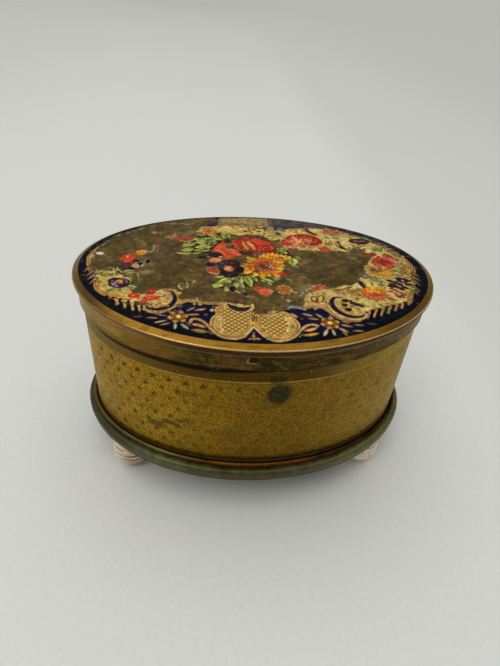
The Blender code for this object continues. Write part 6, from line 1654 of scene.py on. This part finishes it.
def build_panel():
    nx, ny = 348, 262
    A, B = LID[0] - 2.2, LID[1] - 2.2
    a = np.linspace(-1, 1, nx)
    b = np.linspace(-1, 1, ny)
    ga, gb = np.meshgrid(a, b)
    with np.errstate(divide="ignore", invalid="ignore"):
        wide = np.abs(ga) > np.abs(gb)
        r = np.where(wide, ga, gb)
        phi = np.where(wide, math.pi / 4 * np.nan_to_num(gb / ga), math.pi / 2 - math.pi / 4 * np.nan_to_num(ga / gb))
    phi = np.where((ga == 0) & (gb == 0), 0, phi)
    x, y = A * r * np.cos(phi), B * r * np.sin(phi)
    # shallow dents and the edge rolling down into the rim
    near = np.hypot(x / A, y / B)
    dz = 0.16 * (fbm(x + 90, y + 90, 14, 3, 500) - 0.5) + 0.05 * (fbm(x + 90, y + 90, 4, 3, 520) - 0.5)
    r3 = np.random.default_rng(5)
    for k in range(16):
        cx, cy = r3.uniform(-46, 40), r3.uniform(-18, 28)
        w = r3.uniform(0.7, 1.9)
        dz -= r3.uniform(0.05, 0.16) * np.exp(-((x - cx) ** 2 + (y - cy) ** 2) / (w * w))
    z = TOP - 0.05 + bowed(x) + dz * step(1.0, 0.94, near) - 0.10 * step(0.985, 1.0, near)
    top = np.stack([x, y, z], -1).reshape(-1, 3)
    idx = np.arange(nx * ny).reshape(ny, nx)
    faces = np.stack([idx[:-1, :-1], idx[:-1, 1:], idx[1:, 1:], idx[1:, :-1]], -1).reshape(-1, 4).tolist()
    rim = np.concatenate([idx[0, :-1], idx[:-1, -1], idx[-1, :0:-1], idx[:0:-1, 0]])
    low = top[rim].copy()
    low[:, 2] = TOP - 0.62 + bowed(low[:, 0])
    start = len(top)
    mid = start + len(low)
    verts = np.vstack([top, low, [[0, 0, TOP - 0.62 + bowed(0)]]])
    n = len(rim)
    for k in range(n):
        q = (k + 1) % n
        faces.append([rim[k], start + k, start + q, rim[q]])
        faces.append([start + k, mid, start + q])
    mesh = bpy.data.meshes.new("lid_printed_panel")
    mesh.from_pydata((verts * MM).tolist(), [], faces)
    mesh.update()
    obj = bpy.data.objects.new("lid_printed_panel", mesh)
    bpy.context.scene.collection.objects.link(obj)
    mesh.materials.append(PRINT)
    mesh.shade_smooth()
    mesh.set_sharp_from_angle(angle=math.radians(50))
    # colours from the drawn sheet
    def pick(img, px, py):
        fx = np.clip((px - SX) * PX - 0.5, 0, SW - 1.001)
        fy = np.clip((py - SY) * PX - 0.5, 0, SH - 1.001)
        i, j = fx.astype(int), fy.astype(int)
        u, v = fx - i, fy - j
        if img.ndim == 3:
            u, v = u[:, None], v[:, None]
        return (img[j, i] * (1 - u) + img[j, i + 1] * u) * (1 - v) + (img[j + 1, i] * (1 - u) + img[j + 1, i + 1] * u) * v

    vx, vy = verts[:, 0], verts[:, 1]
    rgba = np.ones((len(verts), 4))
    rgba[:, :3] = to_linear(pick(sheet, vx, vy))
    layer = mesh.attributes.new("ink", "FLOAT_COLOR", "POINT")
    layer.data.foreach_set("color", rgba.astype(np.float32).ravel())
    for name, img in (("net", net), ("worn", worn)):
        layer = mesh.attributes.new(name, "FLOAT", "POINT")
        layer.data.foreach_set("value", pick(img, vx, vy).astype(np.float32))
    return obj


def build_wall():
    def shift(v):
        t = np.arctan2(v[:, 1] / BODY[1], v[:, 0] / BODY[0])
        mid = step(BODY_LOW, BODY_LOW + 8, v[:, 2]) * step(BODY_HIGH - 2, BODY_HIGH - 12, v[:, 2])
        w = fbm((t + 4) * 50, v[:, 2], 16, 3, 600) - 0.5
        v = v.copy()
        v[:, :2] *= 1 + (0.16 * w * mid)[:, None] / 48.0
        return v

    zs = np.linspace(BODY_LOW + 0.12, BODY_HIGH - 0.12, 24)
    sec = [(BODY[0] - 0.06, BODY[1] - 0.06, BODY_LOW)] + [(BODY[0], BODY[1], z) for z in zs]
    sec += [(BODY[0] - 0.12, BODY[1] - 0.12, BODY_HIGH), (BODY[0] - 0.42, BODY[1] - 0.42, BODY_HIGH)]
    sec += [(BODY[0] - 0.5, BODY[1] - 0.5, z) for z in (BODY_HIGH - 0.1, 44.0, BODY_LOW)]
    return loft("star_printed_wall", sec, 320, STARS, ring=True, smooth=50, wrap=BODY, shift=shift)


def plinth_half(out):
    ox, oy = PLINTH[0] - BODY[0], PLINTH[1] - BODY[1]
    return (BODY[0] + out, BODY[1] + (out * oy / ox if out > 0 else out))


def build_plinth():
    top = [(-4.0, 22.1), (-2.0, 22.1), (0.08, 22.1), (0.17, 22.05), (0.20, 21.9), (0.24, 20.62), (0.34, 20.48), (0.6, 20.45), (1.7, 20.45)]
    roll = flow([(2.05, 20.47), (2.55, 20.44), (2.98, 20.24), (3.32, 19.84), (3.52, 19.35), (3.55, 18.8), (3.50, 18.1), (3.42, 17.4), (3.32, 16.7), (3.24, 16.3)], 4)
    tail = [(3.14, 16.1), (3.0, 16.05), (2.78, 16.05), (2.66, 16.15), (2.65, 19.30), (2.20, 19.80), (-0.42, 19.80), (-0.42, 21.50), (-3.9, 21.5), (-4.0, 21.6)]
    path = top + list(map(tuple, roll)) + tail
    sec = [(*plinth_half(o), z) for o, z in path]

    def shift(v):
        t = np.arctan2(v[:, 1] / PLINTH[1], v[:, 0] / PLINTH[0])
        out = step(57.5, 60.0, np.hypot(v[:, 0], v[:, 1] * PLINTH[0] / PLINTH[1]))
        w = fbm((t + 4) * 50, v[:, 2] * 2, 9, 3, 640) - 0.5
        v = v.copy()
        v[:, :2] *= 1 - (0.10 * np.abs(w) * out)[:, None] / 50.0
        v[:, 2] += 0.12 * w * out * step(16.0, 17.5, v[:, 2])
        return v

    return loft("stepped_plinth", sec, 320, PATINA, ring=True, smooth=50, shift=shift)


def build_bead():
    sec = []
    for k in range(14):
        a = 2 * math.pi * k / 14
        sec.append((*plinth_half(1.04 + 0.72 * math.cos(a)), 21.48 + 0.72 * math.sin(a)))
    return loft("copper_bead_ring", sec, 300, COPPER, ring=True, smooth=80)


def build_foot(name, at):
    def ball(z):
        return 7.05 * math.sqrt(max(0.0, 1 - (z / 7.60 - 1) ** 2))

    prof = [(0.0, 7.0), (1.85, 7.0), (1.85, 15.66), (1.9, 15.7), (3.1, 15.7), (3.2, 15.6), (3.2, 15.05)]
    top, low, ribs = 14.62, 0.9, 7
    for k in range(ribs):
        for p in np.linspace(0, 1, 9)[: 9 if k == ribs - 1 else 8]:
            z = top + (low - top) * (k + p) / ribs
            bulge = abs(math.sin(math.pi * p)) ** 0.6
            prof.append((ball(z) - 0.55 * (1 - bulge), z))
    prof += [(2.6, 0.10), (2.3, 0.0), (0.0, 0.0)]
    return turned(name, prof, 72, ROSE, at)


def build_wall_lining():
    half = (BODY[0] - 1.8, BODY[1] - 1.8)
    z0, z1 = 24.45, 66.0
    sec = [(half[0], half[1], z) for z in (z0, 45.0, z1 - 0.6)]
    sec += [(half[0] - 0.12, half[1] - 0.12, z1 - 0.15), (half[0] - 0.5, half[1] - 0.5, z1), (half[0] - 0.95, half[1] - 0.95, z1 - 0.15), (half[0] - 1.2, half[1] - 1.2, z1 - 0.7)]
    sec += [(half[0] - 1.2, half[1] - 1.2, z) for z in np.linspace(z1 - 2.5, z0, 10)]

    def shift(v):
        t = np.arctan2(v[:, 1] / half[1], v[:, 0] / half[0])
        inner = (np.hypot(v[:, 0] / half[0], v[:, 1] / half[1]) < 0.99).astype(float)
        w = fbm((t + 4) * 40, v[:, 2], 12, 3, 700) - 0.5
        v = v.copy()
        v[:, :2] *= 1 + (0.35 * w * inner)[:, None] / 48.0
        return v

    return loft("velvet_wall_lining", sec, 240, VELVET, ring=True, smooth=60, shift=shift)


def build_pad(name, half, z_low, z_high, up, crown, bow=False):
    """A thin velvet pad: rounded edge, a slightly crowned face and soft puckers."""
    steps = np.linspace(0, 1, 26)
    face_z = z_high if up else z_low
    back_z = z_low if up else z_high
    sgn = 1 if up else -1
    thick = z_high - z_low
    sec = [(0.0, 0.0, back_z)]
    sec += [(half[0] * s, half[1] * s, back_z) for s in (0.5, 0.97)]
    sec += [(half[0] * s, half[1] * s, back_z + sgn * thick * f) for s, f in ((0.995, 0.10), (1.0, 0.35), (0.995, 0.62))]
    for s in steps[::-1][1:]:
        lift = thick * (0.62 + 0.38 * (1 - s**6) ** 0.5)
        sec.append((half[0] * s, half[1] * s, back_z + sgn * (lift - crown * (s**2))))
    sec[-1] = (0.0, 0.0, sec[-1][2])

    def shift(v):
        rr = np.hypot(v[:, 0] / half[0], v[:, 1] / half[1])
        if up:
            on_face = v[:, 2] > z_low + 0.6 * thick
        else:
            lift = bowed(v[:, 0]) if bow else 0
            on_face = (v[:, 2] - lift) < z_high - 0.6 * thick
        t = np.arctan2(v[:, 1] / half[1], v[:, 0] / half[0])
        pucker = 0.10 * np.sin(46 * t) * step(0.86, 0.97, rr) * step(1.0, 0.985, rr) + 0.28 * (fbm(v[:, 0] + 90, v[:, 1] + 90, 16, 3, 720) - 0.62) * step(1.0, 0.8, rr)
        v = v.copy()
        v[:, 2] += sgn * np.where(on_face, np.minimum(pucker, 0.02), 0)
        return v

    return loft(name, sec, 240, VELVET, bow=bow, smooth=70, shift=shift)


rim = build_bezel()
panel = build_panel()
wall = build_wall()
plinth = build_plinth()
bead = build_bead()
for piece, body, node, slot in (
    (rim, "lid", "lid_bezel", "gilt_rim"),
    (panel, "lid", "lid_panel", "printed_panel"),
    (wall, "box_body", "body_wall", "star_printed_tin"),
    (plinth, "box_body", "base_plinth", "patinated_brass"),
    (bead, "box_body", "base_bead", "copper_bead"),
):
    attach(piece, body)
    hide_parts(node)

for end, sx in (("left", -1), ("right", 1)):
    for side, sy in (("front", -1), ("rear", 1)):
        foot = build_foot(f"ribbed_ball_foot_{side}_{end}", (sx * FOOT_AT[0], sy * FOOT_AT[1]))
        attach(foot, "box_body")
        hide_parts(f"foot_{side}_{end}")

lining = build_wall_lining()
floor_pad = build_pad("velvet_floor_pad", (BODY[0] - 3.45, BODY[1] - 3.45), 24.45, 26.95, True, 0.35)
lid_pad = build_pad("velvet_lid_pad", (LID[0] - 3.2, LID[1] - 3.2), TOP - 5.0, TOP - 3.25, False, 0.25, bow=True)
for piece, body, node in ((lining, "box_body", "wall_lining"), (floor_pad, "box_body", "floor_lining"), (lid_pad, "lid", "lid_lining")):
    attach(piece, body)
    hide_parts(node)


def dress(node, mat):
    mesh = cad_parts[node].data
    mesh.materials.clear()
    mesh.materials.append(mat)


for node in ("hinge_body_leaf", "hinge_lid_leaf", "hinge_pin"):
    dress(node, BRASS)
for node in ("neck_ring", "base_plate"):
    dress(node, TIN)
for node in ("floor_card", "lid_backing_card"):
    dress(node, CARD)
for end in ("left", "right"):
    for side in ("front", "rear"):
        dress(f"foot_screw_{side}_{end}", STEEL)
        dress(f"foot_washer_{side}_{end}", STEEL)


# ================================================================ stage and light
def paper_look():
    look = Look("pale_paper", IOR=1.45)
    fibre = look.noise(700, 3, 0.6)
    broad = look.noise(6, 2, 0.5)
    colour = look.mix(look.between(fibre, 0.3, 0.7), srgb(214, 216, 211), srgb(219, 221, 216))
    colour = look.mix(look.between(broad, 0.3, 0.7, 0.0, 0.25), colour, srgb(212, 213, 208))
    fx, fy, _ = look.split(look.place)
    # painted shade: the paper darker far off, to the right of the box and to the left
    colour = look.mix(look.between(fy, 0.35, 1.9, 0.0, 0.9, smooth=False), colour, srgb(188, 189, 184))
    colour = look.mix(look.between(fx, 0.085, 0.16, 0.0, 0.48), colour, srgb(196, 197, 192))
    colour = look.mix(look.between(fx, 0.16, 0.50, 0.0, 0.9), colour, srgb(196, 197, 192))
    colour = look.mix(look.between(fx, -0.12, -0.42, 0.0, 0.55), colour, srgb(199, 200, 195))
    look.shader.inputs["Specular IOR Level"].default_value = 0.2
    return look.finish(colour, look.between(fibre, 0.3, 0.7, 0.75, 0.85), None, look.bump(fibre, 0.00005, 0.3))


mesh = bpy.data.meshes.new("paper_floor")
mesh.from_pydata([(-4, -4, 0), (4, -4, 0), (4, 4, 0), (-4, 4, 0)], [], [(0, 1, 2, 3)])
floor = bpy.data.objects.new("paper_floor", mesh)
bpy.context.scene.collection.objects.link(floor)
mesh.materials.append(paper_look())


def area(name, place, aim, size, power, colour=(1, 1, 1), size_y=None):
    data = bpy.data.lights.new(name, "AREA")
    data.shape = "RECTANGLE"
    data.size = size
    data.size_y = size_y or size
    data.energy = power
    data.color = colour
    obj = bpy.data.objects.new(name, data)
    obj.location = place
    obj.rotation_euler = (Vector(aim) - Vector(place)).to_track_quat("-Z", "Y").to_euler()
    bpy.context.scene.collection.objects.link(obj)
    return obj


def sky(name, away, energy, spread, colour):
    """A very soft, far light, so that the paper stays evenly lit."""
    data = bpy.data.lights.new(name, "SUN")
    data.energy = energy
    data.angle = math.radians(spread)
    data.color = colour
    obj = bpy.data.objects.new(name, data)
    obj.rotation_euler = (-Vector(away)).to_track_quat("-Z", "Y").to_euler()
    bpy.context.scene.collection.objects.link(obj)
    return obj


sky("ceiling_light", (-0.02, 0.15, 1.0), 1.37, 76, (1.0, 0.995, 0.98))
area("front_left_lamp", (-0.50, -0.55, 1.0), (0, 0, 0.05), 0.30, 1.6, (1.0, 0.97, 0.92))

world = bpy.data.worlds.new("soft_room")
bpy.context.scene.world = world
world.use_nodes = True
tree = world.node_tree
tree.nodes.clear()
out = tree.nodes.new("ShaderNodeOutputWorld")
back = tree.nodes.new("ShaderNodeBackground")
coord = tree.nodes.new("ShaderNodeTexCoord")
parts = tree.nodes.new("ShaderNodeSeparateXYZ")
tree.links.new(coord.outputs["Generated"], parts.inputs[0])


def room(stops):
    node = tree.nodes.new("ShaderNodeValToRGB")
    el = node.color_ramp.elements
    while len(el) < len(stops):
        el.new(0.5)
    for e, (at, v) in zip(el, stops):
        e.position = at
        e.color = (v, v * 1.003, v * 0.985, 1)
    tree.links.new(height.outputs["Result"], node.inputs[0])
    return node.outputs[0]


def ranged(socket, low, high, smooth=True):
    node = tree.nodes.new("ShaderNodeMapRange")
    node.interpolation_type = "SMOOTHSTEP" if smooth else "LINEAR"
    node.inputs["From Min"].default_value = low
    node.inputs["From Max"].default_value = high
    tree.links.new(socket, node.inputs["Value"])
    return node


height = ranged(parts.outputs[2], -1.0, 1.0, smooth=False)
behind = room([(0.0, 0.30), (0.48, 0.55), (0.60, 0.62), (0.69, 0.50), (0.76, 0.16), (0.84, 0.10), (0.92, 0.35), (1.0, 0.62)])
before = room([(0.0, 0.30), (0.48, 0.26), (0.66, 0.30), (0.82, 0.42), (0.92, 0.55), (1.0, 0.62)])
side = ranged(parts.outputs[1], -0.35, 0.45)
blend = tree.nodes.new("ShaderNodeMix")
blend.data_type = "RGBA"
tree.links.new(side.outputs["Result"], blend.inputs[0])
tree.links.new(before, blend.inputs[6])
tree.links.new(behind, blend.inputs[7])
tilt = ranged(parts.outputs[0], 0.9, -0.9)
tilt.inputs["To Min"].default_value = 0.70
tilt.inputs["To Max"].default_value = 1.45
scale = tree.nodes.new("ShaderNodeMix")
scale.data_type = "RGBA"
scale.blend_type = "MULTIPLY"
scale.inputs[0].default_value = 1.0
tree.links.new(blend.outputs[2], scale.inputs[6])
tree.links.new(tilt.outputs["Result"], scale.inputs[7])
tree.links.new(scale.outputs[2], back.inputs[0])
back.inputs[1].default_value = 1.0
tree.links.new(back.outputs[0], out.inputs[0])

scene = bpy.context.scene
scene.view_settings.view_transform = "Standard"
scene.view_settings.look = "None"
scene.view_settings.exposure = 0.0
scene.view_settings.gamma = 1.0

bpy.context.view_layer.update()
